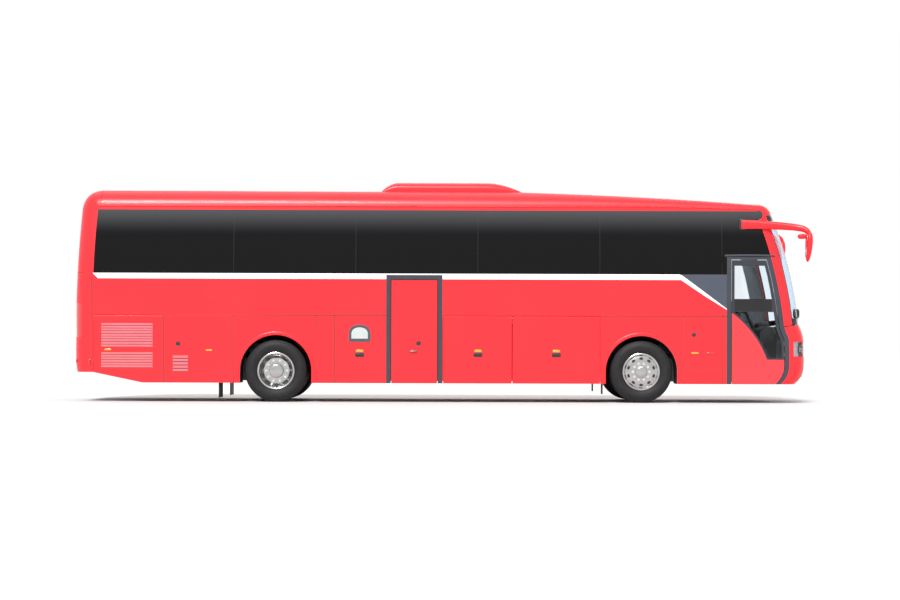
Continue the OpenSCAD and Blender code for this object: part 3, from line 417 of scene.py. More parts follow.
glass_rows, hatch_rows, tail_lamp_rows = [(rear_v(high), rear_v(low))
                                          for low, high in (REAR_GLASS_Z, HATCH_Z, TAIL_Z)]
glass_s, opening_s, tail_lamp_s = rear_s(REAR_GLASS_Y), rear_s(HATCH_Y), rear_s(TAIL_Y)
hatch_s = rear_s(HATCH_Y - HATCH_GAP)
cap_v = fill(V_REAR + HEADER_LAP, 8, *sorted({*glass_rows, *hatch_rows, *tail_lamp_rows}), V_END, step=0.07)
cap_s = fill(*mirrored([1, tail_lamp_s, glass_s, opening_s, 0.5]), step=0.05)
cap_holes = [(*glass_rows, -glass_s, glass_s), (*hatch_rows, -opening_s, opening_s),
             (*tail_lamp_rows, -1, -tail_lamp_s), (*tail_lamp_rows, tail_lamp_s, 1)]
skin_panel("rear_cap_panel", cap_v, cap_s, SHELL_T, paint_lined, "paint_red",
           keep=openings(cap_v, cap_s, cap_holes), replaces=["rear_cap"])
hatch_v = fill(rear_v(HATCH_Z[1] - HATCH_HEAD), rear_v(HATCH_Z[0] + HATCH_GAP), step=0.05)
skin_panel("engine_hatch_panel", hatch_v, fill(-hatch_s, hatch_s, step=0.05), SHELL_T, paint_red,
           "paint_red", body="engine_hatch", replaces=["engine_hatch"])


# Glazing. The side and rear panes are flush privacy glass, bonded on from outside and nearly black,
# a little lighter towards the roof, where a painted reflection of the sky lightens them; the windscreen
# is a wide clear laminate with a pale blue cast and a dark border fired on, between painted posts.
SIDES = (("right", -1), ("left", 1))
GLASS_T = 0.01
SEAM = 0.0022
CLEAR_PANE = (0.93, 0.96, 0.98)
CLEAR_FROM_X = 4.54
# Heights over which the painted reflection of the sky lightens the dark glass.
PAINTED_SKY_Z = (2.70, 3.18)
S_POST, POST_GAP = 0.8, 0.004
SCREEN_ROWS = (V_SCREEN + 0.004, V_HEADER - 0.002)
BORDER_ROWS, BORDER_S = (V_SCREEN + 0.05, V_HEADER - 0.06), S_POST - 0.03
BORDER_T, BORDER_GAP = 0.001, 0.0005


def privacy_glass(name, dark, light, z_low, z_high, clear_x):
    """Glossy dark glass with a painted sky reflection that lightens it smoothly between two heights, and
    clear on the left ahead of clear_x.
    """
    mat, shader, place = new_material(name)
    split = add_node(mat, "SeparateXYZ", {"Vector": place}).outputs
    rise = add_node(mat, "MapRange", {"Value": split["Z"], "From Min": z_low, "From Max": z_high},
                    interpolation_type="SMOOTHSTEP")
    pane_with_painted_sky = tint(mat, rise.outputs["Result"], dark, light)
    clear = reckon(mat, "MULTIPLY", reckon(mat, "GREATER_THAN", split["X"], clear_x),
                   reckon(mat, "GREATER_THAN", split["Y"], 0.0))
    wire(mat, shader, {"Base Color": tint(mat, clear, pane_with_painted_sky, CLEAR_PANE), "Transmission Weight": clear,
                       "Roughness": 0.06, "Specular IOR Level": 0.15})
    return mat


def clear_glass(name, cast):
    """Clear glass with a slight cast of colour, which wanders by 3 percent on soft noise."""
    mat, shader, place = new_material(name)
    paler = [min(1.0, c * 1.03) for c in cast]
    wire(mat, shader, {"Base Color": tint(mat, noise(mat, place, 0.8), cast, paler), "Roughness": 0.0,
                       "Transmission Weight": 1.0, "IOR": 1.12})
    return mat


# The lighter of the two dark colours is a painted reflection of the sky towards the top of the panes.
glass_dark = privacy_glass("glass_dark", (0.003, 0.003, 0.0035), (0.052, 0.053, 0.057), *PAINTED_SKY_Z,
                           CLEAR_FROM_X)
glass_screen = clear_glass("glass_screen", (0.80, 0.90, 0.97))
plastic_black = mottled("plastic_black", (0.014, 0.014, 0.015), (0.024, 0.024, 0.026), 0.42, scale=7.0,
                        bump=0.25, bump_scale=600.0)
dress(glass_dark, "side_glass")
skin_panel("rear_window_glass", fill(*glass_rows, step=0.05),
           fill(-glass_s + SEAM, glass_s - SEAM, step=0.05), GLASS_T, glass_dark, "tinted_glass",
           replaces=["rear_window"])
screen_v = fill(*SCREEN_ROWS, step=0.04)
skin_panel("windscreen_glass", screen_v, fill(-S_POST, -0.5, 0.5, S_POST, step=0.04), GLASS_T,
           glass_screen, "clear_glass", replaces=["windscreen"])
for side, sign in SIDES:
    post_s = np.sort(sign * fill(S_POST + POST_GAP, 1, step=0.02))
    skin_panel(f"screen_post_{side}", screen_v, post_s, SHELL_T, paint_lined, "paint_red",
               replaces=["a_pillars"])
border_v = fill(SCREEN_ROWS[0], *BORDER_ROWS, SCREEN_ROWS[1], step=0.04)
border_s = fill(-S_POST, -BORDER_S, -0.5, 0.5, BORDER_S, S_POST, step=0.05)
skin_panel("screen_border", border_v, border_s, BORDER_T, plastic_black, "black_trim",
           depth=GLASS_T + BORDER_GAP,
           keep=openings(border_v, border_s, [(*BORDER_ROWS, -BORDER_S, BORDER_S)]))


# Front mask. The moulded nose below the windscreen, with the lamps let into its corners and a dark band
# under the glass. The middle of the bumper is moulded in dark grey round a low air intake with level fins.
LAMP_Z, LAMP_Y, LAMP_OUTER_S = (0.76, 1.0), 0.8, 0.9
BAND_Z, BAND_Y = (1.06, 1.26), 0.98
BAND_T, BAND_PROUD = 0.003, 0.0025
INTAKE_Z, INTAKE_Y = (0.42, 0.56), 0.64
INTAKE_BACK_T, INTAKE_DEPTH = 0.004, 0.038
FIN_BAYS, FIN_HALF, FIN_T, FIN_DEPTH = 7, 0.01, 0.03, 0.004
FIELD_Z, FIELD_Y = (0.345, 0.745), 1.08
FIELD_T, FIELD_PROUD = 0.0015, 0.0001
MASK_LAP = 0.012
NOSE_ROW = 1.5
nose_y = skin(NOSE_ROW, half_s)[:, 1]


def front_v(z):
    """Skin row of a height on the nose."""
    rows = np.linspace(0, V_SCREEN, 900)
    return float(np.interp(z, skin(rows, 0.0)[:, 2], rows))


def front_s(y):
    """Place across the nose of a distance from the middle."""
    return float(np.interp(y, nose_y, half_s))


def shared_rows(rows, under):
    """Grid rows with those of the panel underneath added, so that both bend at the same places."""
    return np.union1d(rows, under[(under > rows[0]) & (under < rows[-1])])


def enamel(name, dark, light, rough, coat):
    """A second enamel colour, sprayed as evenly as the red."""
    return mottled(name, dark, light, rough, scale=2.0, bump=0.03, bump_scale=420.0, coat=coat)


paint_slate = enamel("paint_slate", (0.032, 0.04, 0.062), (0.045, 0.055, 0.08), 0.3, 0.5)
bumper_grey = mottled("bumper_grey", (0.03, 0.032, 0.036), (0.05, 0.052, 0.057), 0.5, scale=10.0,
                      bump=0.3, bump_scale=500.0)
lamp_v, band_v, intake_v, field_edge_v = [tuple(front_v(z) for z in pair)
                                          for pair in (LAMP_Z, BAND_Z, INTAKE_Z, FIELD_Z)]
lamp_s = (front_s(LAMP_Y), LAMP_OUTER_S)
band_s, intake_s = front_s(BAND_Y), front_s(INTAKE_Y)
intake_hole = (*intake_v, -intake_s, intake_s)
intake_across = fill(-intake_s, intake_s, step=0.05)
mask_v = fill(0, *sorted({*intake_v, *lamp_v, *band_v}), V_SCREEN - MASK_LAP, step=0.08)
mask_s = fill(*mirrored([1, *lamp_s, intake_s, 0.5]), step=0.05)
mask_holes = [(*lamp_v, *lamp_s), (*lamp_v, -lamp_s[1], -lamp_s[0]), intake_hole]
skin_panel("front_mask_panel", mask_v, mask_s, SHELL_T, paint_lined, "paint_red",
           keep=openings(mask_v, mask_s, mask_holes), replaces=["front_mask"])
skin_panel("nose_band", fill(*band_v, step=0.05), fill(-band_s, band_s, step=0.05), BAND_T, paint_slate,
           "black_trim", depth=-BAND_PROUD)
skin_panel("air_slot_back", fill(*intake_v, step=0.1), intake_across, INTAKE_BACK_T, plastic_black,
           "black_trim", depth=INTAKE_DEPTH)
fin_v = fill(*intake_v, step=(intake_v[1] - intake_v[0]) / FIN_BAYS)
for i, v in enumerate(fin_v[1:-1]):
    skin_panel(f"air_slot_fin_{i + 1}", np.array([v - FIN_HALF, v + FIN_HALF]), intake_across, FIN_T,
               plastic_black, "black_trim", depth=FIN_DEPTH)
field_v = shared_rows(fill(field_edge_v[0], *intake_v, field_edge_v[1], step=0.05), mask_v)
field_s = shared_rows(fill(*mirrored([front_s(FIELD_Y), intake_s]), step=0.04), mask_s)
skin_panel("bumper_field", field_v, field_s, FIELD_T, bumper_grey, "black_trim", depth=-FIELD_PROUD,
           keep=openings(field_v, field_s, [intake_hole]))


# Lamps. Each headlamp is a clear lens over a silver bucket with two bright bowls, and a round fog lamp sits
# in the bumper below it. Each tail lamp is a tall lens, red above, amber in the middle and clear below,
# with a red lens that wraps round the corner.
BOWL_Y, BOWL_Z, BOWL_R, BOWL_TURN = (0.89, 1.03), 0.88, 0.062, 0.2
LENS_T, LENS_SINK, LENS_LAP = 0.004, 0.001, 0.005
BUCKET_T, BUCKET_DEPTH, BUCKET_LAP = 0.006, 0.085, 0.004
TAIL_T, TAIL_LAP, TAIL_WRAP_LAP = 0.035, 0.003, 0.002
TAIL_LENS_S, TAIL_WRAP_S = 0.62, 0.8
FOG_Y, FOG_Z, FOG_TURN = 0.92, 0.50, 0.28
# Columns of the turned profiles: radius, offset along the axis
BOWL = [(0, -0.072), (0.03, -0.066), (0.05, -0.050), (BOWL_R, -0.020), (BOWL_R + 0.005, -0.020),
        (BOWL_R + 0.002, -0.034), (0.045, -0.062), (0.02, -0.078), (0, -0.08)]
BULB = [(0, -0.035), (0.016, -0.038), (0.02, -0.05), (0.016, -0.07), (0, -0.072)]
FOG_LAMP = [(0, 0.002), (0.03, 0.0015), (0.05, -0.001), (0.058, -0.004), (0.066, -0.001), (0.072, -0.003),
            (0.072, -0.03), (0, -0.03)]


def prism_lens(name, dark, light, rough):
    """Moulded lens: glossy, with a fine prism relief."""
    return mottled(name, dark, light, rough, scale=30.0, bump=0.3, bump_scale=240.0, coat=0.8)


def ring_faces(rows, around, capped=False):
    """Quads between the rows of a grid whose columns close into rings, with flat ends where capped."""
    ids = np.arange(rows * around).reshape(rows, around)
    after = np.roll(ids, -1, 1)
    quads = np.stack([ids[:-1], after[:-1], after[1:], ids[1:]], -1).reshape(-1, 4)
    return [*map(tuple, quads), tuple(ids[0]), tuple(ids[-1][::-1])] if capped else quads


def turned(profile, centre, axis, segments=48):
    """Solid of revolution: a profile of radii and offsets along an axis, swung round it in equal steps.

    Points with no radius share one vertex after welding, so the ends close.
    """
    radii, offsets = np.asarray(profile, float).T
    axis = np.asarray(axis, float) / np.linalg.norm(axis)
    side = np.cross(axis, [0.0, 0.0, 1.0] if abs(axis[2]) < 0.9 else [1.0, 0.0, 0.0])
    side /= np.linalg.norm(side)
    up = np.cross(axis, side)
    turn = np.linspace(0, 2 * math.pi, segments, endpoint=False)
    circle = np.cos(turn)[:, None] * side + np.sin(turn)[:, None] * up
    points = np.asarray(centre, float) + offsets[:, None, None] * axis + radii[:, None, None] * circle
    return points.reshape(-1, 3), ring_faces(len(radii), segments)


def gather(parts):
    """Join several vertex and face arrays into one."""
    verts, faces, start = [], [], 0
    for v, f in parts:
        verts.append(np.asarray(v, float).reshape(-1, 3))
        faces += [tuple(int(i) + start for i in face) for face in f]
        start += len(verts[-1])
    return np.concatenate(verts), faces


lens_clear = clear_glass("lens_clear", (0.97, 0.98, 1.0))
lens_red = prism_lens("lens_red", (0.42, 0.006, 0.01), (0.55, 0.012, 0.016), 0.14)
lens_amber = prism_lens("lens_amber", (0.8, 0.22, 0.01), (0.95, 0.32, 0.02), 0.16)
lens_white = prism_lens("lens_white", (0.78, 0.8, 0.82), (0.9, 0.92, 0.94), 0.14)
chrome = mottled("chrome", (0.78, 0.79, 0.8), (0.9, 0.9, 0.91), 0.1, scale=4.0, metal=1.0)
lamp_silver = mottled("lamp_silver", (0.42, 0.42, 0.44), (0.56, 0.56, 0.58), 0.35, scale=14.0, metal=0.5)
TAIL_LENSES = (("red", lens_red), ("amber", lens_amber), ("clear", lens_white))
tail_cut = fill(*tail_lamp_rows, step=(tail_lamp_rows[1] - tail_lamp_rows[0]) / len(TAIL_LENSES))
tail_full_v = fill(*tail_lamp_rows, step=0.05)
for side, sign in SIDES:
    lens_s = np.sort(sign * fill(lamp_s[0] + SEAM, lamp_s[1] - SEAM, step=0.03))
    skin_panel(f"headlamp_lens_{side}", fill(lamp_v[0] + LENS_LAP, lamp_v[1] - LENS_LAP, step=0.05), lens_s,
               LENS_T, lens_clear, "lamp_clear", depth=LENS_SINK, replaces=["headlamps"])
    skin_panel(f"headlamp_bucket_{side}", fill(lamp_v[0] + BUCKET_LAP, lamp_v[1] - BUCKET_LAP, step=0.05),
               lens_s, BUCKET_T, lamp_silver, "lamp_clear", depth=BUCKET_DEPTH)
    aim = (1, sign * BOWL_TURN, 0)
    spots = [skin(front_v(BOWL_Z), sign * front_s(y)) for y in BOWL_Y]
    bowls = [part for spot in spots for part in (turned(BOWL, spot, aim), turned(BULB, spot, aim, 24))]
    make_piece(f"headlamp_bowls_{side}", *gather(bowls), chrome, "body", "lamp_clear")
    fog = turned(FOG_LAMP, skin(front_v(FOG_Z), sign * front_s(FOG_Y)), (1, sign * FOG_TURN, 0), 36)
    make_piece(f"fog_lamp_{side}", *fog, lens_white, "body", "lamp_clear")
    tail_s = np.sort(sign * fill(tail_lamp_s + SEAM, TAIL_LENS_S - TAIL_WRAP_LAP, step=0.02))
    for k, (colour, lens) in enumerate(TAIL_LENSES):
        part_v = fill(tail_cut[k] + TAIL_LAP, tail_cut[k + 1] - TAIL_LAP, step=0.05)
        skin_panel(f"tail_lamp_{colour}_{side}", part_v, tail_s, TAIL_T, lens, "lamp_red",
                   depth=LENS_SINK, replaces=["tail_lamps"])
    wrap_s = np.sort(sign * fill(TAIL_LENS_S, TAIL_WRAP_S - TAIL_WRAP_LAP, step=0.02))
    skin_panel(f"tail_lamp_wrap_{side}", tail_full_v, wrap_s, TAIL_T, lens_red, "lamp_red", depth=LENS_SINK)
    skin_panel(f"tail_lamp_rim_{side}", tail_full_v, np.sort(sign * fill(TAIL_WRAP_S, 1, step=0.02)), SHELL_T,
               paint_red, "paint_red")


# Side livery. A white band of film lies along the foot of the glass; near the front door it turns down
# in a thinning diagonal, with a slate field above it. The panel joints show as fine dark lines.
FILM_T, FILM_SINK = 0.0008, 0.001
BAND_TOP, FIELD_END_X = 2.085, 4.6105
STRIPE = [(-5.672, BAND_TOP), (-5.585, 1.997), (3.868, 1.995), (4.227, 1.752), (FIELD_END_X, 1.515),
          (FIELD_END_X, 1.53), (4.227, 1.816), (3.885, 2.068), (3.84, BAND_TOP)]
upper_edge = STRIPE[:4:-1]
DRIVER_SILL = 1.64
FIELD_GAP = 0.002
SLATE_FIELD = {"right": [*upper_edge, (FIELD_END_X, BAND_TOP)],
               "left": [*upper_edge, (FIELD_END_X, DRIVER_SILL), (PANE_X - FIELD_GAP, DRIVER_SILL),
                        (PANE_X - FIELD_GAP, BAND_TOP)]}
SEAM_W, SEAM_PROUD = 0.012, 0.0004
BELT_Z = 1.405
DOOR_FRAME_X = (-0.91, 0.0)
ENGINE_FLAP_X, BAY_REAR_X, BAY_FRONT_X = -4.52, -1.747, 2.564
# Columns: x, foot, head
UPRIGHT_SEAMS = [(-3.379, SKIRT_Z, BELT_Z), (-2.036, 1.2, BELT_Z), (BAY_REAR_X, SKIRT_Z, BELT_Z),
                 (3.917, 0.4, BELT_Z), (4.546, SKIRT_Z, 1.54), (ENGINE_FLAP_X, SKIRT_Z, BELT_Z),
                 (-5.692, 0.55, 1.99)]
# Columns: rear end, front end
BELT_SEAMS = {"right": [(ENGINE_FLAP_X, DOOR_FRAME_X[0]), (BAY_FRONT_X, 4.61)],
              "left": [(ENGINE_FLAP_X, BAY_REAR_X), (BAY_FRONT_X, 5.6)]}


def side_plate(points, sign, proud, thick):
    """Flat outline in X and Z, standing proud of one side wall and thick towards it."""
    outline = np.asarray(points, float)
    y_out = sign * (side_half(outline[:, 1]) + proud)
    outer = np.stack([outline[:, 0], y_out, outline[:, 1]], -1)
    n = len(outline)
    sides = [(i, (i + 1) % n, (i + 1) % n + n, i + n) for i in range(n)]
    faces = [tuple(range(n)), tuple(range(2 * n - 1, n - 1, -1)), *sides]
    return np.concatenate([outer, outer - [0, sign * thick, 0]]), faces


def strip(x0, x1, z0, z1):
    """Corners of an upright rectangle on a side wall."""
    return [(x0, z0), (x1, z0), (x1, z1), (x0, z1)]


def upright(x, z0, z1, half):
    """Narrow upright strip about x."""
    return strip(x - half, x + half, z0, z1)


def level(x0, x1, z, half):
    """Narrow level strip about z."""
    return strip(x0, x1, z - half, z + half)


paint_white = enamel("paint_white", (0.82, 0.82, 0.83), (0.86, 0.86, 0.87), 0.28, 0.6)
for side, sign in SIDES:
    make_piece(f"stripe_{side}", *side_plate(STRIPE, sign, FILM_T, FILM_T + FILM_SINK), paint_white,
               "body", "paint_red")
    make_piece(f"slate_field_{side}", *side_plate(SLATE_FIELD[side], sign, FILM_T, FILM_T + FILM_SINK),
               paint_slate, "body", "frame_grey")
    # On the left the luggage flap's own joint stands at the rear end of the bay
    lines = [upright(x, z0, z1, SEAM_W / 2) for x, z0, z1 in UPRIGHT_SEAMS
             if side == "right" or x != BAY_REAR_X]
    lines += [level(x0, x1, BELT_Z, SEAM_W / 2) for x0, x1 in BELT_SEAMS[side]]
    joints = [side_plate(line, sign, SEAM_PROUD, LINE_T) for line in lines]
    make_piece(f"panel_joints_{side}", *gather(joints), rubber_black, "body", "black_trim")


# Wheel arches. A pressed lip stands a little proud round each opening, straight down to the skirt;
# a dark liner closes the arch behind it, and a sheet steel wall closes the wheel box above the axle.
ARCH_R, LIP_W = 0.58, 0.062
AXLE_Z = 0.505
AXLES = {"front": 3.23, "rear": -2.7}
# Columns: reach beyond the arch, out from the wall
LIP = [(0.0, -0.012), (0.004, 0.009), (0.03, 0.014), (LIP_W - 0.012, 0.010), (LIP_W, 0.0005), (LIP_W, -0.004),
       (0.0, -0.02)]
LINER_IN, LINER_OUT = 0.004, 0.016
LINER_Y = (HALF_W - 0.006, HALF_W - 0.05, 0.66)
WALL_Y, WALL_T, WALL_Z, WALL_HALF = 0.42, 0.004, (0.72, 1.15), 0.62
BOX_FACES = [(0, 1, 3, 2), (4, 6, 7, 5), (0, 4, 5, 1), (2, 3, 7, 6), (0, 2, 6, 4), (1, 5, 7, 3)]
liner_black = mottled("liner_black", (0.008, 0.008, 0.009), (0.016, 0.016, 0.017), 0.8, scale=5.0,
                      bump=0.3, bump_scale=120.0)


def arch_row(radius, x, y, count=60):
    """Points up one side of an arch, over its half circle and down the other side, about an axle at x."""
    turn = np.linspace(math.pi, 0, count)
    top = np.stack([radius * np.cos(turn), AXLE_Z + radius * np.sin(turn)], -1)
    path = np.concatenate([[[-radius, SKIRT_Z]], top, [[radius, SKIRT_Z]]])
    return np.stack([x + path[:, 0], np.full(len(path), y), path[:, 1]], -1)


for end, axle_x in AXLES.items():
    for side, sign in SIDES:
        lip = np.stack([arch_row(ARCH_R + a, axle_x, sign * (HALF_W + out)) for a, out in LIP], 1)
        make_piece(f"arch_lip_{end}_{side}", lip, ring_faces(*lip.shape[:2], capped=True), paint_red,
                   "body", "paint_red", sharp=50)
        liner, back = [np.stack([arch_row(ARCH_R + a, axle_x, sign * y) for y in LINER_Y], 1)
                       for a in (LINER_IN, LINER_OUT)]
        make_piece(f"arch_liner_{end}_{side}", *shell(liner, back), liner_black, "body", "frame_steel")
        wall_y = sorted((sign * WALL_Y, sign * (WALL_Y - WALL_T)))
        corners = [(axle_x + dx, y, z) for y in wall_y for z in WALL_Z for dx in (-WALL_HALF, WALL_HALF)]
        make_piece(f"arch_wall_{end}_{side}", corners, BOX_FACES, liner_black, "body", "frame_steel")


# Wheels. The front ones are polished forged discs, nearly flush, with ten hand holes, ten nuts and
# a domed cap; the rear ones are twin wheels whose outer disc is deeply dished round a hub. Each hand hole
# is a shallow dish painted near black as the shade inside an open hole.
TYRE_R, TYRE_W = 0.505, 0.278
RIM_R, FLANGE_R = 0.286, 0.300
BEAD_W = 0.38 * TYRE_W
TYRE_Y = HALF_W - 0.026 - TYRE_W / 2
TWIN_PITCH = TYRE_W + 0.048
TYRE_STEPS, DISC_STEPS, BARREL_STEPS, PIT_STEPS = 40, 72, 48, 20
DISH = BEAD_W - 0.105
SHOULDER = TYRE_W / 2
NUTS, HAND_HOLES = 10, 10
HOLE_LONG, HOLE_WIDE = 0.026, 0.019
# Columns of the turned profiles: radius, offset along the axle
TYRE = np.array([(RIM_R + 0.001, 0.0), (FLANGE_R + 0.004, BEAD_W + 0.003), (RIM_R + 0.058, SHOULDER - 0.007),
                 (RIM_R + 0.125, SHOULDER), (TYRE_R - 0.022, SHOULDER - 0.016), (TYRE_R, SHOULDER - 0.05),
                 (TYRE_R, 0.0)])
RIM = [(0, -BEAD_W - 0.01), (RIM_R - 0.012, -BEAD_W - 0.01), (FLANGE_R, -BEAD_W - 0.01), (FLANGE_R, -BEAD_W),
       (RIM_R, -BEAD_W + 0.004), (RIM_R, BEAD_W - 0.004), (FLANGE_R, BEAD_W),
       (FLANGE_R + 0.001, BEAD_W + 0.007), (FLANGE_R - 0.006, BEAD_W + 0.010)]
FRONT_FACE = np.array([(RIM_R - 0.010, 0.006), (RIM_R - 0.022, -0.006), (0.255, -0.012), (0.235, -0.006),
                       (0.19, 0.004), (0.15, 0.002), (0.1, 0.002), (0.098, 0.012), (0.09, 0.020),
                       (0.07, 0.030), (0.04, 0.034), (0, 0.034)])
TWIN_FACE = np.array([(RIM_R - 0.018, 0.03), (0.24, -0.03), (0.21, -0.055), (0.15, -0.06), (0.12, -0.058),
                      (0.118, -0.02), (0.112, 0.02), (0.105, 0.046), (0.08, 0.055), (0.04, 0.058),
                      (0, 0.058)])
FRONT_DISC = [*RIM, *(FRONT_FACE + [0, BEAD_W])]
TWIN_DISC = [*RIM, (RIM_R - 0.012, BEAD_W + 0.004), *(TWIN_FACE + [0, DISH])]
INNER_RIM = [(0, BEAD_W + 0.009), (FLANGE_R, BEAD_W + 0.009), (FLANGE_R, BEAD_W), (RIM_R, BEAD_W - 0.004),
             (RIM_R, -BEAD_W + 0.004), (FLANGE_R, -BEAD_W), (FLANGE_R, -BEAD_W - 0.01),
             (0.26, -BEAD_W - 0.01), (0.25, 0.0), (0.13, 0.02), (0.12, 0.0), (0, 0.0)]
NUT = np.array([(0, 0.034), (0.012, 0.034), (0.0155, 0.030), (0.016, 0.026), (0.016, 0.006), (0.022, 0.006),
                (0.022, 0.0), (0, 0.0)])
# Columns: disc, nut ring radius, nut seat, hand hole ring radius, hand hole seat
WHEELS = {"front": (FRONT_DISC, 0.135, BEAD_W + 0.002, 0.213, BEAD_W + 0.0015),
          "rear": (TWIN_DISC, 0.170, DISH - 0.06, 0.228, DISH - 0.045)}
# Columns: share of the hole's size, lift from its seat
PIT_RINGS = ((1.18, 0.0), (1.05, 0.003), (0.95, 0.001))


def tyre_finish(name):
    """Black rubber: bands across the tread cut its grooves as relief, and soft noise wanders the shade."""
    mat, shader, place = new_material(name)
    bands = add_node(mat, "TexWave", {"Vector": place, "Scale": 6.5}, wave_type="BANDS", bands_direction="Y")
    shade = tint(mat, noise(mat, place, 14.0), (0.009, 0.009, 0.010), (0.020, 0.020, 0.021))
    emboss(mat, shader, bands.outputs["Fac"], 0.6, 0.008)
    wire(mat, shader, {"Base Color": shade, "Roughness": 0.55, "Specular IOR Level": 0.2})
    return mat


def round_pattern(radius, count, shift=0.0):
    """Places along X and Z, and angles, of a ring of like details."""
    turn = (np.arange(count) + shift) * 2 * math.pi / count
    return [(radius * math.cos(t), radius * math.sin(t), t) for t in turn]


def oval_pit(x, z, seat, turn, centre, sign):
    """Shallow oval dish with a rolled edge: three ellipse rings, long across the radius, and a flat floor."""
    angle = np.linspace(0, 2 * math.pi, PIT_STEPS, endpoint=False)
    rings = []
    for k, lift in PIT_RINGS:
        u, w = HOLE_WIDE * k * np.cos(angle), HOLE_LONG * k * np.sin(angle)
        px = x + u * math.cos(turn) - w * math.sin(turn)
        pz = z + u * math.sin(turn) + w * math.cos(turn)
        py = np.full(PIT_STEPS, centre[1] + sign * (seat + lift))
        rings.append(np.stack([centre[0] + px, py, centre[2] + pz], -1))
    last = PIT_STEPS * (len(rings) - 1)
    floor_ring = tuple(range(last, last + PIT_STEPS))
    return np.concatenate(rings), [*ring_faces(len(rings), PIT_STEPS), floor_ring]


tyre_rubber = tyre_finish("tyre_rubber")
alloy = mottled("alloy_polished", (0.40, 0.40, 0.40), (0.52, 0.52, 0.51), 0.2, scale=9.0, bump=0.05,
                bump_scale=500.0, metal=1.0)
# Near black: painted shade standing in for the depth of the open hand holes.
hand_hole_painted_shade = mottled("hand_hole_painted_shade", (0.01, 0.01, 0.01), (0.02, 0.02, 0.02), 0.8, scale=9.0)
tyre_loop = np.concatenate([TYRE, TYRE[-2:0:-1] * [1, -1], TYRE[:1]])
for end, (disc, nut_ring, nut_seat, hole_ring, hole_seat) in WHEELS.items():
    for side, sign in SIDES:
        axle_x, axis, body = AXLES[end], (0, sign, 0), f"wheel_{end}_{side}"
        centre = (axle_x, sign * TYRE_Y, AXLE_Z)
        inner = (axle_x, sign * (TYRE_Y - TWIN_PITCH), AXLE_Z)
        twins = end == "rear"
        tyres = [turned(tyre_loop, c, axis, TYRE_STEPS) for c in ((centre, inner) if twins else (centre,))]
        rims = [turned(disc, centre, axis, DISC_STEPS)]
        rims += [turned(INNER_RIM, inner, axis, BARREL_STEPS)] if twins else []
        plural = "s" if twins else ""
        make_piece(f"tyre_{end}_{side}", *gather(tyres), tyre_rubber, body, "tyre_rubber", sharp=60,
                   replaces=[f"tyre{plural}_{end}_{side}"])
        make_piece(f"rim_{end}_{side}", *gather(rims), alloy, body, "wheel_alloy", sharp=30,
                   replaces=[f"rim{plural}_{end}_{side}"])
        nuts = [turned(NUT + [0, nut_seat], (axle_x + px, sign * TYRE_Y, AXLE_Z + pz), axis, 6)
                for px, pz, _ in round_pattern(nut_ring, NUTS)]
        make_piece(f"wheel_nuts_{end}_{side}", *gather(nuts), chrome, body, "wheel_alloy", sharp=25)
        # Hand holes: shallow pits whose near-black colour is painted shade.
        holes = [oval_pit(px, pz, hole_seat, t, centre, sign)
                 for px, pz, t in round_pattern(hole_ring, HAND_HOLES, 0.5)]
        make_piece(f"hand_holes_{end}_{side}", *gather(holes), hand_hole_painted_shade, body, "wheel_alloy",
                   outward_faces=False)


# Pane seals. Black sealant fills the narrow joints between the side panes and follows the lean of the wall.
# On the left the foremost joint runs down beside the deeper driver's window.
PANE_PITCH, PANE_JOINTS = 1.979, 5
PANE_Z = (2.087, 3.120)
SEAL_HALF, SEAL_SINK, SEAL_T, SEAL_STEPS = 0.007, 0.0012, 0.006, 14
for side, sign in SIDES:
    beads = []
    for k in range(PANE_JOINTS):
        foot = DRIVER_SILL + FIELD_GAP if side == "left" and k == 0 else PANE_Z[0]
        run = np.linspace(foot, PANE_Z[1], SEAL_STEPS)
        beads += [side_plate(upright(PANE_X - k * PANE_PITCH, z0, z1, SEAL_HALF), sign, -SEAL_SINK, SEAL_T)
                  for z0, z1 in zip(run, run[1:])]
    make_piece(f"pane_seals_{side}", *gather(beads), rubber_black, "body", "black_trim")


# Doors. Welded frames in slate, with a red middle leaf under a slate header bar; the front leaf is slate
# round its two lights and red below a falling arc, and its pane is blacked out over the rail between them.
# A rain gutter lies over the front door; the middle leaf has a round lock and a bow handle.
ARC_X, ARC_Z, ARC_R = 3.733, 0.152, 1.625
LIGHT_FOOT = 0.705
LEAF_SLATE = (0.014, 0.017, 0.026)
HEADER_Z, HEADER_PROUD, HEADER_T = (1.99, 2.064), 0.0018, 0.004
RAIL_X, RAIL_Z = (4.735, 5.34), (1.487, 1.691)
GUTTER_X, GUTTER_Z, GUTTER_RISE, GUTTER_STEPS = (4.575, 5.395), 2.392, 0.006, 20
GUTTER_OUT, GUTTER_HALF = 0.004, (0.008, 0.016)
MID_LOCK = (-0.384, 0.955)
HANDLE = [(-0.53, -1.247, 0.822), (-0.522, -1.262, 0.822), (-0.47, -1.268, 0.823), (-0.415, -1.262, 0.824),
          (-0.405, -1.247, 0.824)]
HANDLE_HALF, HANDLE_STEPS = (0.011, 0.016), 26
# Columns: share of the radius, offset out from the wall
LOCK_CUP = np.array([(1.0, -0.004), (1.05, 0.003), (0.98, 0.006), (0.80, 0.005), (0.62, 0.001), (0.58, 0.001),
                     (0.56, 0.007), (0.42, 0.009), (0.40, 0.0075), (0.0, 0.0075)])
LOCK_R, LOCK_STEPS = 0.038, 28


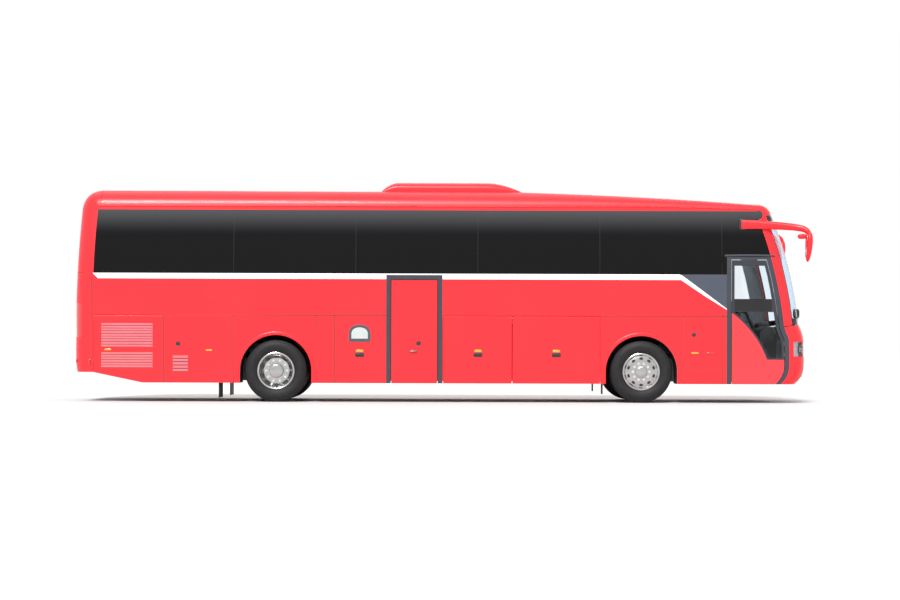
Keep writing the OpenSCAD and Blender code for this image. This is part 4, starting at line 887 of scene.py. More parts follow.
def two_tone_leaf(name):
    """Slate outside a circle in X and Z and above the lower light's foot, red elsewhere."""
    mat, shader, place = new_material(name)
    split = add_node(mat, "SeparateXYZ", {"Vector": place}).outputs
    flat = add_node(mat, "CombineXYZ", {"X": split["X"], "Z": split["Z"]}).outputs["Vector"]
    reach = add_node(mat, "VectorMath", {0: flat, 1: (ARC_X, 0, ARC_Z)}, operation="DISTANCE")
    slate = reckon(mat, "MULTIPLY", reckon(mat, "GREATER_THAN", reach.outputs["Value"], ARC_R),
                   reckon(mat, "GREATER_THAN", split["Z"], LIGHT_FOOT))
    wire(mat, shader, {"Base Color": tint(mat, slate, RED, LEAF_SLATE), "Roughness": 0.3, "Coat Weight": 0.2})
    return mat


def signed_power(c, e):
    """A power of the size of c, with the sign of c."""
    return np.sign(c) * np.abs(c)**e


def rounded_form(centre, half, east=0.35, north=0.35, steps=28, rows=14):
    """Closed rounded block: signed powers of sines and cosines of two angles, times three half sizes.

    Powers below 1 square it off; 1 gives an ellipsoid.
    """
    turn = np.linspace(-math.pi, math.pi, steps, endpoint=False)
    rise = np.linspace(-math.pi / 2, math.pi / 2, rows + 1)
    w, u = np.meshgrid(rise, turn, indexing="ij")
    ring = signed_power(np.cos(w), north)
    points = np.stack([ring * signed_power(np.cos(u), east), ring * signed_power(np.sin(u), east),
                       signed_power(np.sin(w), north)], -1)
    return (np.asarray(centre, float) + points.reshape(-1, 3) * np.asarray(half, float),
            ring_faces(rows + 1, steps))


def swept(path, half_across, half_up, up=(0, 0, 1), steps=14):
    """Oval bar carried along a path: at each point an ellipse across the path, closed at both ends."""
    path = np.asarray(path, float)
    along = np.gradient(path, axis=0)
    along /= np.linalg.norm(along, axis=1, keepdims=True)
    across = np.cross(along, np.asarray(up, float))
    across /= np.linalg.norm(across, axis=1, keepdims=True)
    lift = np.cross(across, along)
    turn = np.linspace(0, 2 * math.pi, steps, endpoint=False)[:, None]
    wide, high = [np.broadcast_to(half, len(path))[:, None, None] for half in (half_across, half_up)]
    rings = path[:, None] + wide * np.cos(turn) * across[:, None] + high * np.sin(turn) * lift[:, None]
    rings = np.concatenate([np.repeat(path[:1, None], steps, 1), rings, np.repeat(path[-1:, None], steps, 1)])
    return rings.reshape(-1, 3), ring_faces(len(rings), steps)


def smooth_path(points, count):
    """Even run of points through a few: straight along the chord, then averaged with neighbours."""
    points = np.asarray(points, float)
    chord = np.concatenate([[0], np.cumsum(np.linalg.norm(np.diff(points[:, :3], axis=0), axis=1))])
    fine = np.linspace(0, chord[-1], count)
    run = np.stack([np.interp(fine, chord, c) for c in points.T], -1)
    for _ in range(max(2, count // 12)):
        run[1:-1] = (run[:-2] + 2 * run[1:-1] + run[2:]) / 4
    return run


def round_lock(x, z, sign, radius=LOCK_R):
    """Round lock barrel in a dished black cup, standing on a side wall."""
    return turned(LOCK_CUP * [radius, 1], (x, sign * HALF_W, z), (0, sign, 0), LOCK_STEPS)


frame_slate = mottled("frame_slate", (0.018, 0.021, 0.031), (0.026, 0.030, 0.043), 0.34, scale=5.0,
                      bump=0.08, bump_scale=300.0, coat=0.3)
lock_metal = mottled("lock_metal", (0.10, 0.10, 0.11), (0.2, 0.2, 0.21), 0.35, scale=30.0, bump=0.1,
                     bump_scale=500.0, metal=0.8)
black_glaze = mottled("black_glaze", (0.004, 0.004, 0.005), (0.008, 0.008, 0.009), 0.12, scale=3.0)
dress(two_tone_leaf("door_two_tone"), "front_door")
dress(clear_glass("glass_door", (0.92, 0.96, 0.98)), "front_door_glass")
dress(frame_slate, "door_frames")
gutter_t = np.linspace(0, 1, GUTTER_STEPS)
gutter_y = -(side_half(GUTTER_Z) + GUTTER_OUT)
gutter = np.stack([np.linspace(*GUTTER_X, GUTTER_STEPS), np.full(GUTTER_STEPS, gutter_y),
                   GUTTER_Z + GUTTER_RISE * np.sin(math.pi * gutter_t)], -1)
make_piece("door_gutter", *swept(gutter, *GUTTER_HALF), frame_slate, "body", "frame_grey")
make_piece("door_header", *side_plate(strip(*DOOR_FRAME_X, *HEADER_Z), -1, HEADER_PROUD, HEADER_T),
           frame_slate, "body", "frame_grey")
make_piece("door_bar_glaze", *side_plate(strip(*RAIL_X, *RAIL_Z), -1, FILM_T, LINE_T), black_glaze,
           "front_door", "tinted_glass")
make_piece("mid_door_lock", *round_lock(*MID_LOCK, -1), plastic_black, "mid_door", "black_trim")
make_piece("mid_door_handle", *swept(smooth_path(HANDLE, HANDLE_STEPS), *HANDLE_HALF), lock_metal,
           "mid_door", "hinge_steel")


# Engine grilles. Each engine flap carries two banks of sloping pressed slats with a plain band between them,
# over a backing plate; an amber marker sits at the band's rear end. The slats are painted a paler pink
# than the body red as a painted reflection of the sky on them, and the backing is painted dark red
# as painted shade in the recess behind them.
GRILLE_X, SLAT_LAP = (-5.530, -4.690), 0.004
# Columns: foot, head, number of slats
GRILLE_BANKS = ((0.880, 1.272, 9), (0.545, 0.800, 6))
GRILLE_MARKER = (-5.42, 0.842)
# Columns: out from the wall, up in slat pitches
SLAT_SECTION = np.array([[-0.0015, 0.5], [0.0065, 0.36], [0.0085, 0.1], [0.0035, -0.30], [-0.0005, -0.34],
                         [0.002, 0.1], [-0.0015, 0.3]])
MARKER_OUT, MARKER_T = 0.002, 0.009
# Red paint made paler and pinker: a painted reflection of the sky on the tilted slats.
slat_red_painted_sky = mottled("slat_red_painted_sky", (0.62, 0.10, 0.12), (0.72, 0.15, 0.17), 0.3, scale=3.0, bump=0.04,
                   bump_scale=300.0, coat=0.4)
# Dark red: painted shade for the recesses behind the slats, and the dark colour of the service door's joint.
recess_shade_and_joint_dark = mottled("recess_shade_and_joint_dark", (0.10, 0.012, 0.014), (0.15, 0.02, 0.022), 0.6, scale=9.0,
                      bump=0.3, bump_scale=160.0)


def slat(x0, x1, z, pitch, sign, count=10):
    """Pressed slat: a hooked section of (out, up) points carried along X."""
    xs, out = np.meshgrid(np.linspace(x0, x1, count), sign * (HALF_W + SLAT_SECTION[:, 0]), indexing="ij")
    grid = np.stack([xs, out, np.broadcast_to(z + SLAT_SECTION[:, 1] * pitch, xs.shape)], -1)
    return grid.reshape(-1, 3), ring_faces(*xs.shape, capped=True)


def marker(x, z, sign, half=(0.058, 0.016)):
    """Small lens: a low rounded block on a side wall."""
    return rounded_form((x, sign * (HALF_W + MARKER_OUT), z), (half[0], MARKER_T, half[1]), 0.6, 0.6, 24, 10)


for side, sign in SIDES:
    body = f"engine_flap_{side}"
    backs, slats = [], []
    for z0, z1, count in GRILLE_BANKS:
        backs.append(side_plate(strip(*GRILLE_X, z0, z1), sign, FILM_T, LINE_T))
        pitch = (z1 - z0) / count
        slats += [slat(GRILLE_X[0] + SLAT_LAP, GRILLE_X[1] - SLAT_LAP, z0 + (k + 0.5) * pitch, pitch, sign)
                  for k in range(count)]
    # The backing plates are painted dark red as the shade in the recess behind the slats.
    make_piece(f"grille_back_{side}", *gather(backs), recess_shade_and_joint_dark, body, "black_trim")
    # The slats' pink colour is a painted sky reflection.
    make_piece(f"grille_slats_{side}", *gather(slats), slat_red_painted_sky, body, "paint_red", sharp=40)
    make_piece(f"grille_marker_{side}", *marker(*GRILLE_MARKER, sign), lens_amber, body, "lamp_red")


# Side trim. Each luggage flap has a black latch under an amber marker; the fixed panels carry round locks,
# a louvre, marker lamps, a service door's joint and a small arched inspection window in a rubber frame.
LATCH_Z, LATCH_MARKER_RISE, LATCH_MARKER = 0.80, 0.036, (0.062, 0.022)
LATCH_X = {"luggage_flap_right_rear": 0.579, "luggage_flap_right_front": 1.849,
           "luggage_flap_left_rear": -1.03, "luggage_flap_left_mid": 0.409, "luggage_flap_left_front": 1.845}
WINDOW_X, WINDOW_FOOT, WINDOW_HALF, WINDOW_TOP = -1.340, 0.978, 0.178, 1.258
PANEL_LATCH_Z = LATCH_Z - 0.005
FRAME_SIDE, FRAME_FOOT, FRAME_TOP = 0.045, 0.052, 0.046
# Columns: out from the wall, thickness
FRAME_STAND, PANE_STAND = (0.005, 0.008), (0.0065, 0.004)
ARCH_SPRING, ARCH_POWER = 1.10, 0.8
# Columns: x, z, radius
LOCKS = ((-4.283, 0.940, LOCK_R), (4.079, 1.105, 0.034))
SMALL_MARKER = (0.055, 0.014)
# Columns: x, z, half sizes
MARKERS = {"right": [(-3.781, 0.835, SMALL_MARKER), (4.095, 0.812, (0.062, 0.016))],
           "left": [(x, 0.835, SMALL_MARKER) for x in (-3.781, -2.2, 4.095)]}
SIDE_LAMP = (4.355, 0.808, -1, (0.072, 0.026))
LOUVRE_X, LOUVRE_FIRST, LOUVRE_STEP, LOUVRE_PITCH, LOUVRES = (-4.365, -4.122), 0.508, 0.054, 0.05, 5
LOUVRE_BACK = strip(-4.37, -4.117, 0.482, 0.752)
SERVICE_X, SERVICE_Z, SERVICE_HALF = (3.99, 4.47), (0.48, 1.36), 0.002


def latch(x, z, sign):
    """Latch cup with its paddle: a dark rounded plate and a smaller raised bar on it."""
    cup = rounded_form((x, sign * (HALF_W + 0.001), z - 0.028), (0.075, 0.007, 0.036), 0.25, 0.4)
    paddle = rounded_form((x - 0.008, sign * (HALF_W + 0.008), z - 0.022), (0.05, 0.007, 0.017), 0.3, 0.5)
    return gather([cup, paddle])


def arched_outline(half, foot, top, count=28):
    """Upright-sided outline with a rounded head: a cosine across, a power of the sine upwards."""
    turn = np.linspace(0, math.pi, count)
    head = [(WINDOW_X + half * math.cos(t), ARCH_SPRING + (top - ARCH_SPRING) * math.sin(t)**ARCH_POWER)
            for t in turn]
    return [(WINDOW_X - half, foot), (WINDOW_X + half, foot), *head[:-1], (WINDOW_X - half, ARCH_SPRING)]


pane_pale = mottled("pane_pale", (0.36, 0.40, 0.40), (0.50, 0.54, 0.53), 0.12, scale=7.0, bump=0.04,
                    bump_scale=40.0, coat=0.5)
frame_rubber = mottled("frame_rubber", (0.035, 0.045, 0.048), (0.06, 0.07, 0.075), 0.55, scale=12.0,
                       bump=0.2, bump_scale=300.0)
latches = [(f"latch_{flap}", f"latch_marker_{flap}", x, LATCH_Z, -1 if "right" in flap else 1, flap)
           for flap, x in LATCH_X.items()]
latches.append(("panel_latch", "panel_latch_marker", WINDOW_X, PANEL_LATCH_Z, -1, "body"))
for latch_name, marker_name, x, z, sign, body in latches:
    make_piece(latch_name, *latch(x, z, sign), plastic_black, body, "black_trim")
    make_piece(marker_name, *marker(x, z + LATCH_MARKER_RISE, sign, LATCH_MARKER), lens_amber, body,
               "lamp_red")
frame_outline = arched_outline(WINDOW_HALF, WINDOW_FOOT, WINDOW_TOP)
pane_outline = arched_outline(WINDOW_HALF - FRAME_SIDE, WINDOW_FOOT + FRAME_FOOT, WINDOW_TOP - FRAME_TOP)
make_piece("inspection_frame", *side_plate(frame_outline, -1, *FRAME_STAND), frame_rubber, "body",
           "black_trim")
make_piece("inspection_pane", *side_plate(pane_outline, -1, *PANE_STAND), pane_pale, "body", "clear_glass")
for side, sign in SIDES:
    make_piece(f"locks_{side}", *gather([round_lock(x, z, sign, r) for x, z, r in LOCKS]), plastic_black,
               "body", "black_trim")
    make_piece(f"markers_{side}", *gather([marker(x, z, sign, half) for x, z, half in MARKERS[side]]),
               lens_amber, "body", "lamp_red")
make_piece("side_lamp_right", *marker(*SIDE_LAMP), lens_red, "body", "lamp_red")
# The louvre's backing plate is painted dark red for the shade behind its slats, and its slats paler pink for
# the sky they reflect.
louvre = [slat(*LOUVRE_X, LOUVRE_FIRST + LOUVRE_STEP * k, LOUVRE_PITCH, -1, 6) for k in range(LOUVRES)]
make_piece("louvre_back", *side_plate(LOUVRE_BACK, -1, FILM_T, LINE_T), recess_shade_and_joint_dark, "body", "black_trim")
make_piece("louvre_slats", *gather(louvre), slat_red_painted_sky, "body", "paint_red", sharp=40)
service_lines = [level(*SERVICE_X, z, SERVICE_HALF) for z in SERVICE_Z]
service_lines += [upright(x, *SERVICE_Z, SERVICE_HALF) for x in SERVICE_X]
service_joint = [side_plate(line, -1, SEAM_PROUD, LINE_T) for line in service_lines]
make_piece("service_door_joint", *gather(service_joint), recess_shade_and_joint_dark, "body", "black_trim")


# Mirrors. Painted arms root at the cant rail and sweep forward, then drop into teardrop heads;
# each head holds a mirror glass and carries a small wide-angle pod behind it.
# Columns: x, y, z, half height, half width
ARM = [(4.850, 1.203, 2.902, 0.076, 0.024), (5.100, 1.217, 2.897, 0.070, 0.028),
       (5.263, 1.228, 2.889, 0.067, 0.032), (5.500, 1.245, 2.875, 0.062, 0.036),
       (5.700, 1.265, 2.856, 0.056, 0.040), (5.830, 1.300, 2.832, 0.052, 0.044),
       (5.905, 1.335, 2.790, 0.046, 0.046), (5.930, 1.350, 2.720, 0.040, 0.046),
       (5.932, 1.350, 2.66, 0.034, 0.044)]
ARM_UP = (0.25, 0, 1)
HEAD_X, HEAD_Y, HEAD_Z = 5.928, 1.352, (2.292, 2.775)
HEAD_HALF_X, HEAD_HALF_Y, HEAD_SWEEP = 0.056, 0.114, 0.028
FOOT_SHARE, TAPER_RISE, SWEEP_POWER = 0.58, 1.25, 1.5
MIRROR_X, MIRROR_Z, MIRROR_T, MIRROR_SWEEP = 5.882, (2.375, 2.735), 0.006, 0.018
MIRROR_HALF_Y, MIRROR_SPREAD = 0.062, 0.026
POD, POD_HALF = (5.812, 1.345, 2.702), (0.075, 0.05, 0.042)
ROOT, ROOT_HALF = (4.87, 1.196, 2.902), (0.06, 0.02, 0.092)
UNIT_FORM = ((0, 0, 0), (1, 1, 1))
mirror_glass = mottled("mirror_glass", (0.72, 0.75, 0.78), (0.8, 0.82, 0.84), 0.05, scale=3.0, metal=1.0)


def mirror_form(form, x, half_x, half_y, z_range, sweep, sign):
    """A unit form stretched between two heights and swept rearwards by a power of the drop below its top."""
    t = (form[:, 2:] + 1) / 2
    z = z_range[0] + (z_range[1] - z_range[0]) * t
    return np.concatenate([x + form[:, :1] * half_x - sweep * (1 - t)**SWEEP_POWER,
                           sign * (HEAD_Y + form[:, 1:2] * half_y), z], 1)


head_form, head_faces = rounded_form(*UNIT_FORM, 0.62, 0.72, 36, 26)
glass_form, glass_faces = rounded_form(*UNIT_FORM, 0.5, 0.5, 32, 16)
head_t, glass_t = (head_form[:, 2:] + 1) / 2, (glass_form[:, 2:] + 1) / 2
taper = FOOT_SHARE + (1 - FOOT_SHARE) * np.sin(np.clip(head_t * TAPER_RISE, 0, 1) * math.pi / 2)
arm_run = smooth_path(ARM, 60)
for side, sign in SIDES:
    flip = np.array([1, sign, 1])
    arm = swept(arm_run[:, :3] * flip, arm_run[:, 4], arm_run[:, 3], up=ARM_UP, steps=20)
    head = mirror_form(head_form, HEAD_X, HEAD_HALF_X * taper, HEAD_HALF_Y * taper, HEAD_Z, HEAD_SWEEP, sign)
    pod = rounded_form(POD * flip, POD_HALF, 0.8, 0.8)
    make_piece(f"mirror_{side}", *gather([arm, (head, head_faces), pod]), paint_red, "body", "paint_red",
               sharp=60, replaces=["mirrors"])
    glass = mirror_form(glass_form, MIRROR_X, MIRROR_T, MIRROR_HALF_Y + MIRROR_SPREAD * glass_t, MIRROR_Z,
                        MIRROR_SWEEP, sign)
    make_piece(f"mirror_glass_{side}", glass, glass_faces, mirror_glass, "body", "clear_glass", sharp=60)
    make_piece(f"mirror_root_{side}", *rounded_form(ROOT * flip, ROOT_HALF, 0.4, 0.4), plastic_black,
               "body", "black_trim")


# Wipers. Two pantograph arms of black steel lie at the foot of the windscreen, with rubber blades
# along the glass. A black spindle cap stands at each side of the foot.
WIPER_REACH = ((-0.6, -0.1), (0.0, 0.5))
BLADE_ROW, SPINDLE_ROW, ARM_ROWS = V_SCREEN + 0.056, V_SCREEN + 0.013, (V_SCREEN + 0.014, 0.040)
BLADE_OUT, SPINE_OUT, ARM_OUT, ARM_BOW = 0.004, 0.0095, 0.006, 0.003
BLADE_HALF, SPINE_HALF, ARM_HALF = (0.003, 0.011), (0.006, 0.006), (0.005, 0.006)
PIVOT_BACK, ARM_SPAN, ARM_SHIFTS = 0.03, 0.22, (0.0, 0.022)
SPINDLE = [(0, -0.005), (0.02, -0.005), (0.022, 0.008), (0.014, 0.013), (0, 0.013)]
CAP, CAP_HALF = (5.812, 0.8, 1.462), (0.05, 0.055, 0.078)
arm_t = np.linspace(0, 1, 24)
spindle_x, spindle_z = outward(np.array(SPINDLE_ROW))
for k, (s0, s1) in enumerate(WIPER_REACH):
    s_run = np.linspace(s0, s1, 40)
    pivot = s1 - PIVOT_BACK
    parts = [swept(skin(BLADE_ROW, s_run, -BLADE_OUT), *BLADE_HALF),
             swept(skin(BLADE_ROW, s_run[4:-4], -SPINE_OUT), *SPINE_HALF)]
    for shift in ARM_SHIFTS:
        arm_line = skin(ARM_ROWS[0] + ARM_ROWS[1] * arm_t, pivot + shift - (ARM_SPAN + shift) * arm_t,
                        -ARM_OUT - ARM_BOW * np.sin(math.pi * arm_t))
        parts.append(swept(arm_line, *ARM_HALF))
    parts.append(turned(SPINDLE, skin(SPINDLE_ROW, pivot), (spindle_x, 0, spindle_z), 20))
    make_piece(f"wiper_{k + 1}", *gather(parts), plastic_black, "body", "black_trim", sharp=50,
               replaces=["wipers"])
for side, sign in SIDES:
    make_piece(f"spindle_cap_{side}", *rounded_form(CAP * np.array([1, sign, 1]), CAP_HALF, 0.7, 0.6),
               plastic_black, "body", "black_trim")


# Roof unit. The air conditioner's hood is one glass-fibre moulding with sloped ends, bolted to the roof.
# Two round fan guards of wire rings and spokes lie just under its top, so that the hood covers them.
UNIT_X, UNIT_HALF_Y, UNIT_FOOT, UNIT_TOP = (-1.03, 1.35), 0.86, 3.42, 3.604
UNIT_FLANGE = 0.012
REAR_RAMP, FRONT_RAMP = 0.30, 0.62
REAR_POWER, FRONT_POWER, EDGE_POWERS = 0.8, 0.9, (10, 0.25)
FAN_X, FAN_R, FAN_SPOKES, SPOKE_DROP, SPOKE_HALF = (-0.42, 0.42), 0.27, 4, 0.009, (0.006, 0.004)
FAN_RINGS, WIRE_W = (0.07, 0.12, 0.17, 0.22), 0.006
FAN_SHROUD = [(0.30, -0.02), (0.30, -0.004), (0.285, 0.0), (FAN_R, -0.004), (0.265, -0.02), (0.0, -0.02)]
WIRE = np.array([(WIRE_W, -0.012), (WIRE_W, -0.004), (0, -0.004), (0, -0.012), (WIRE_W, -0.012)])
UP = (0, 0, 1)
unit_x = np.linspace(*UNIT_X, 90)
unit_s = np.sin(np.linspace(-math.pi / 2, math.pi / 2, 61))
rear_ramp = np.sin(np.clip((unit_x - UNIT_X[0]) / REAR_RAMP, 0, 1) * math.pi / 2)**REAR_POWER
front_ramp = np.sin(np.clip((UNIT_X[1] - unit_x) / FRONT_RAMP, 0, 1) * math.pi / 2)**FRONT_POWER
edge = (1 - np.abs(unit_s)**EDGE_POWERS[0])**EDGE_POWERS[1]
hood_x, hood_y = np.meshgrid(unit_x, unit_s * UNIT_HALF_Y, indexing="ij")
hood_rise = (UNIT_TOP - UNIT_FOOT) * rear_ramp * front_ramp
hood = np.stack([hood_x, hood_y, UNIT_FOOT + hood_rise[:, None] * edge], -1)
foot = hood.copy()
foot[..., 2] = UNIT_FOOT - UNIT_FLANGE
make_piece("roof_unit_hood", *shell(hood, foot), paint_red, "body", "paint_red", sharp=50,
           replaces=["roof_unit"])
fans = []
for x in FAN_X:
    fans.append(turned(FAN_SHROUD, (x, 0, UNIT_TOP), UP, 48))
    fans += [turned(WIRE + [r, 0], (x, 0, UNIT_TOP), UP, 40) for r in FAN_RINGS]
    for a in np.arange(FAN_SPOKES) * math.pi / FAN_SPOKES:
        tip = FAN_R * np.array([math.cos(a), math.sin(a), 0])
        fans.append(swept(np.array([x, 0, UNIT_TOP - SPOKE_DROP]) + np.linspace(-tip, tip, 6), *SPOKE_HALF))
make_piece("roof_unit_fans", *gather(fans), plastic_black, "body", "black_trim")


# Seats. Reclining coach seats in pairs and a driver's seat: a moulded base and back shell with an arm rest,
# a foam cushion and a tall back with side bolsters and a head pad, all under blue woven cloth.
SEAT_ROWS, FIRST_ROW_X, ROW_PITCH = 12, 3.701, 0.79
PAIR_Y, SEAT_SHIFT, DECK_Z = 0.7295, 0.222, 1.33
SEAT_W, SEAT_L = 0.43, 0.42
WELL_X, SEAT_FRONT, SEAT_REAR = (-0.836, -0.074), 0.5, 0.12
# Columns: x, y, floor height, width, length
DRIVER = (4.771, 0.56, 0.9, 0.48, 0.38)
CUSHION_X, CUSHION_Z, CUSHION_T, CUSHION_CROWN = 0.05, 0.40, 0.062, (0.0, 0.0, 0.018)
BACK_Z, BACK_T, BACK_HALF_H, BACK_CROWN = 0.785, 0.052, 0.36, (0.016, 0.0, 0.0)
BACK_LEAN, BACK_SHIFT = 0.10, 0.012
BOLSTER, LUMBAR, LUMBAR_WAVE = 0.022, 0.012, 8.0
PAD, PAD_T, PAD_SHARE, PAD_HALF_H, PAD_CROWN = (0.012, 0, 0.275), 0.056, 0.78, 0.085, (0.012, 0.0, 0.0)
BASE_X, BASE_Z, BASE_T, BASE_SHARE, BASE_HALF_H = 0.18, 0.17, 0.13, 0.36, 0.168
SHELL_X, SHELL_Z, SHELL_HALF_T, SHELL_SHARE, SHELL_HALF_H = -0.042, 0.76, 0.028, 0.47, 0.36
REST_GAP, REST_HALF = 0.004, (0.018, 0.022)
# Columns: x and z of the arm rest's rear and front ends
REST_ENDS = ((0.02, 0.62), (0.34, 0.60))


def woven_cloth(name, dark, light):
    """Coarse cloth: two crossed wave bands give the weave, noise gives the shade; sheen on the shader."""
    mat, shader, place = new_material(name)
    thread = {"Vector": place, "Scale": 90.0, "Distortion": 0.4}
    bands = [add_node(mat, "TexWave", thread, bands_direction=axis) for axis in ("X", "Z")]
    weave = reckon(mat, "MULTIPLY", *[band.outputs["Fac"] for band in bands])
    shade = reckon(mat, "MULTIPLY_ADD", weave, 0.45, noise(mat, place, 18.0))
    emboss(mat, shader, weave, 0.35, 0.002)
    wire(mat, shader, {"Base Color": tint(mat, shade, dark, light), "Roughness": 0.9, "Sheen Weight": 0.25})
    return mat


def crowned(centre, half, crown, pull=0.06, squareness=0.32):
    """Rounded block whose faces bulge by crown and whose sides pull in between the corners."""
    v, f = rounded_form(*UNIT_FORM, squareness, squareness)
    mid = (1 - v**2).clip(0, 1)
    swell = v * np.asarray(crown) * np.roll(mid, 1, 1) * np.roll(mid, 2, 1)
    pinch = 1 - pull * mid[:, [2, 2, 0]] * (np.abs(v) > 0.9)
    return (v * pinch) * np.asarray(half) + swell + np.asarray(centre), f


def one_seat(x, y, z, width, length):
    """Cushion, back and head pad of one seat.

    The back stands forward at its sides by a fourth power and waves with height; back and pad lean
    rearwards in step with height.
    """
    w = width / 2
    cushion = crowned((x + CUSHION_X + length / 2, y, z + CUSHION_Z), (length / 2, w, CUSHION_T),
                      CUSHION_CROWN)
    back, back_f = crowned((0, 0, 0), (BACK_T, w, BACK_HALF_H), BACK_CROWN)
    back[:, 0] += BOLSTER * (np.abs(back[:, 1]) / w)**4 - LUMBAR * np.cos(back[:, 2] * LUMBAR_WAVE)
    pad, pad_f = crowned(PAD, (PAD_T, w * PAD_SHARE, PAD_HALF_H), PAD_CROWN)
    for form in (back, pad):
        form[:, 0] -= (form[:, 2] + BACK_HALF_H) * BACK_LEAN - BACK_SHIFT
        form += [x, y, z + BACK_Z]
    return cushion, (back, back_f), (pad, pad_f)


def seat_frame(x, y, z, width):
    """Base and back shell of one seat as rounded blocks, and its arm rest as an oval bar."""
    rest_y = y - width / 2 - REST_GAP
    rest = np.linspace(*[(x + dx, rest_y, z + dz) for dx, dz in REST_ENDS], 8)
    base_half = (BASE_T, width * BASE_SHARE, BASE_HALF_H)
    shell_half = (SHELL_HALF_T, width * SHELL_SHARE, SHELL_HALF_H)
    return [rounded_form((x + BASE_X, y, z + BASE_Z), base_half, 0.3, 0.2, 20, 8),
            rounded_form((x + SHELL_X, y, z + SHELL_Z), shell_half, 0.3, 0.3, 20, 8), swept(rest, *REST_HALF)]


seat_cloth = woven_cloth("seat_cloth", (0.030, 0.045, 0.10), (0.055, 0.075, 0.15))
seat_shell = mottled("seat_shell", (0.05, 0.05, 0.055), (0.075, 0.075, 0.08), 0.5, scale=12.0,
                     bump=0.3, bump_scale=500.0)
places = []
for i in range(SEAT_ROWS):
    x = FIRST_ROW_X - ROW_PITCH * i
    clear_of_well = x + SEAT_FRONT < WELL_X[0] or x - SEAT_REAR > WELL_X[1]
    for pair_y in (PAIR_Y, -PAIR_Y):
        if pair_y > 0 or clear_of_well:
            places += [(x, pair_y + dy, DECK_Z, SEAT_W, SEAT_L) for dy in (-SEAT_SHIFT, SEAT_SHIFT)]
cushions, backs, bases = [], [], []
for place in [*places, DRIVER]:
    cushion, *back_parts = one_seat(*place)
    cushions.append(cushion)
    backs += back_parts
    bases += seat_frame(*place[:4])
cushion_piece = make_piece("seat_cushions", *gather(cushions), seat_cloth, "body", "seat_fabric", sharp=70,
                           replaces=["seats"])
back_piece = make_piece("seat_backs", *gather(backs), seat_cloth, "body", "seat_fabric", sharp=70)
make_piece("seat_shells", *gather(bases), seat_shell, "body", "black_trim")


# Driver's place. A moulded grey dash with a hooded binnacle, a steering column and a round-rimmed wheel
# with three spokes, screwed to the floor ahead of the driver's seat.
# Columns: x, z
DASH_SECTION = np.array([(5.275, 0.902), (5.58, 0.902), (5.578, 1.10), (5.55, 1.215), (5.49, 1.252),
                         (5.41, 1.258), (5.34, 1.238), (5.295, 1.19), (5.275, 1.12), (5.29, 1.02)])
# Columns: y, share of the section, at the right end and at the left end
DASH_RIGHT = np.array([(-0.298, 0.0), (-0.296, 0.9), (-0.285, 0.97)])
DASH_LEFT = np.array([(1.065, 0.97), (1.076, 0.9), (1.078, 0.0)])
DASH_Y, DASH_STEPS = (-0.26, 1.04), 30
BINNACLE, BINNACLE_HALF = (5.45, 0.56, 1.27), (0.11, 0.17, 0.068)
COLUMN_FOOT, COLUMN_L, COLUMN_R = np.array([5.31, 0.56, 1.23]), 0.37, 0.03
WHEEL_TILT, WHEEL_R, WHEEL_RIM_R = math.radians(25), 0.22, 0.014
RIM_STEPS, TUBE_STEPS = 60, 12
SPOKE_TURNS, SPOKE_SINK, WHEEL_SPOKE_HALF = (0.0, 2.1, 4.2), 0.008, (0.013, 0.007)
BOSS = [(0, -0.02), (0.05, -0.02), (0.062, 0.0), (0.05, 0.014), (0, 0.018)]
dash_grey = mottled("dash_grey", (0.045, 0.047, 0.052), (0.07, 0.072, 0.078), 0.6, scale=10.0,
                    bump=0.35, bump_scale=420.0)
plain = np.stack([np.linspace(*DASH_Y, DASH_STEPS), np.ones(DASH_STEPS)], -1)
dash_y, squeeze = np.concatenate([DASH_RIGHT, plain, DASH_LEFT]).T
middle = DASH_SECTION.mean(0)
section = middle + (DASH_SECTION - middle) * squeeze[:, None, None]
dash_across = np.broadcast_to(dash_y[:, None], section.shape[:2])
dash_grid = np.stack([section[..., 0], dash_across, section[..., 1]], -1)
dash = (dash_grid.reshape(-1, 3), ring_faces(*section.shape[:2]))
binnacle = rounded_form(BINNACLE, BINNACLE_HALF, 0.5, 0.6)
lean = np.array([-math.sin(WHEEL_TILT), 0, math.cos(WHEEL_TILT)])
wheel_hub = COLUMN_FOOT + COLUMN_L * lean
column = swept(np.linspace(COLUMN_FOOT, wheel_hub, 8), COLUMN_R, COLUMN_R, up=(1, 0, 0))


def wheel_rim(turn):
    """Points of the wheel's circle: cosine along its sloping diameter, sine along Y."""
    turn = np.asarray(turn, float)[..., None]
    slope = np.array([math.cos(WHEEL_TILT), 0, math.sin(WHEEL_TILT)])
    return WHEEL_R * (np.cos(turn) * slope + np.sin(turn) * np.array([0.0, 1.0, 0.0]))


ring = wheel_rim(np.linspace(0, 2 * math.pi, RIM_STEPS + 1))
tube = np.linspace(0, 2 * math.pi, TUBE_STEPS, endpoint=False)[None, :, None]
rim_grid = (wheel_hub + ring[:, None] * (1 + WHEEL_RIM_R / WHEEL_R * np.cos(tube))
            + WHEEL_RIM_R * np.sin(tube) * lean)
rim = (rim_grid.reshape(-1, 3), ring_faces(RIM_STEPS + 1, TUBE_STEPS))
spoke_root = wheel_hub - SPOKE_SINK * lean
spokes = [swept(np.linspace(spoke_root, wheel_hub + wheel_rim(t), 10), *WHEEL_SPOKE_HALF, up=lean)
          for t in SPOKE_TURNS]
boss = turned(BOSS, wheel_hub, lean, 32)
make_piece("dash_moulding", *gather([dash, binnacle, column]), dash_grey, "body", "black_trim", sharp=50,
           replaces=["dashboard"])
make_piece("steering_wheel", *gather([rim, *spokes, boss]), plastic_black, "body", "black_trim", sharp=60)


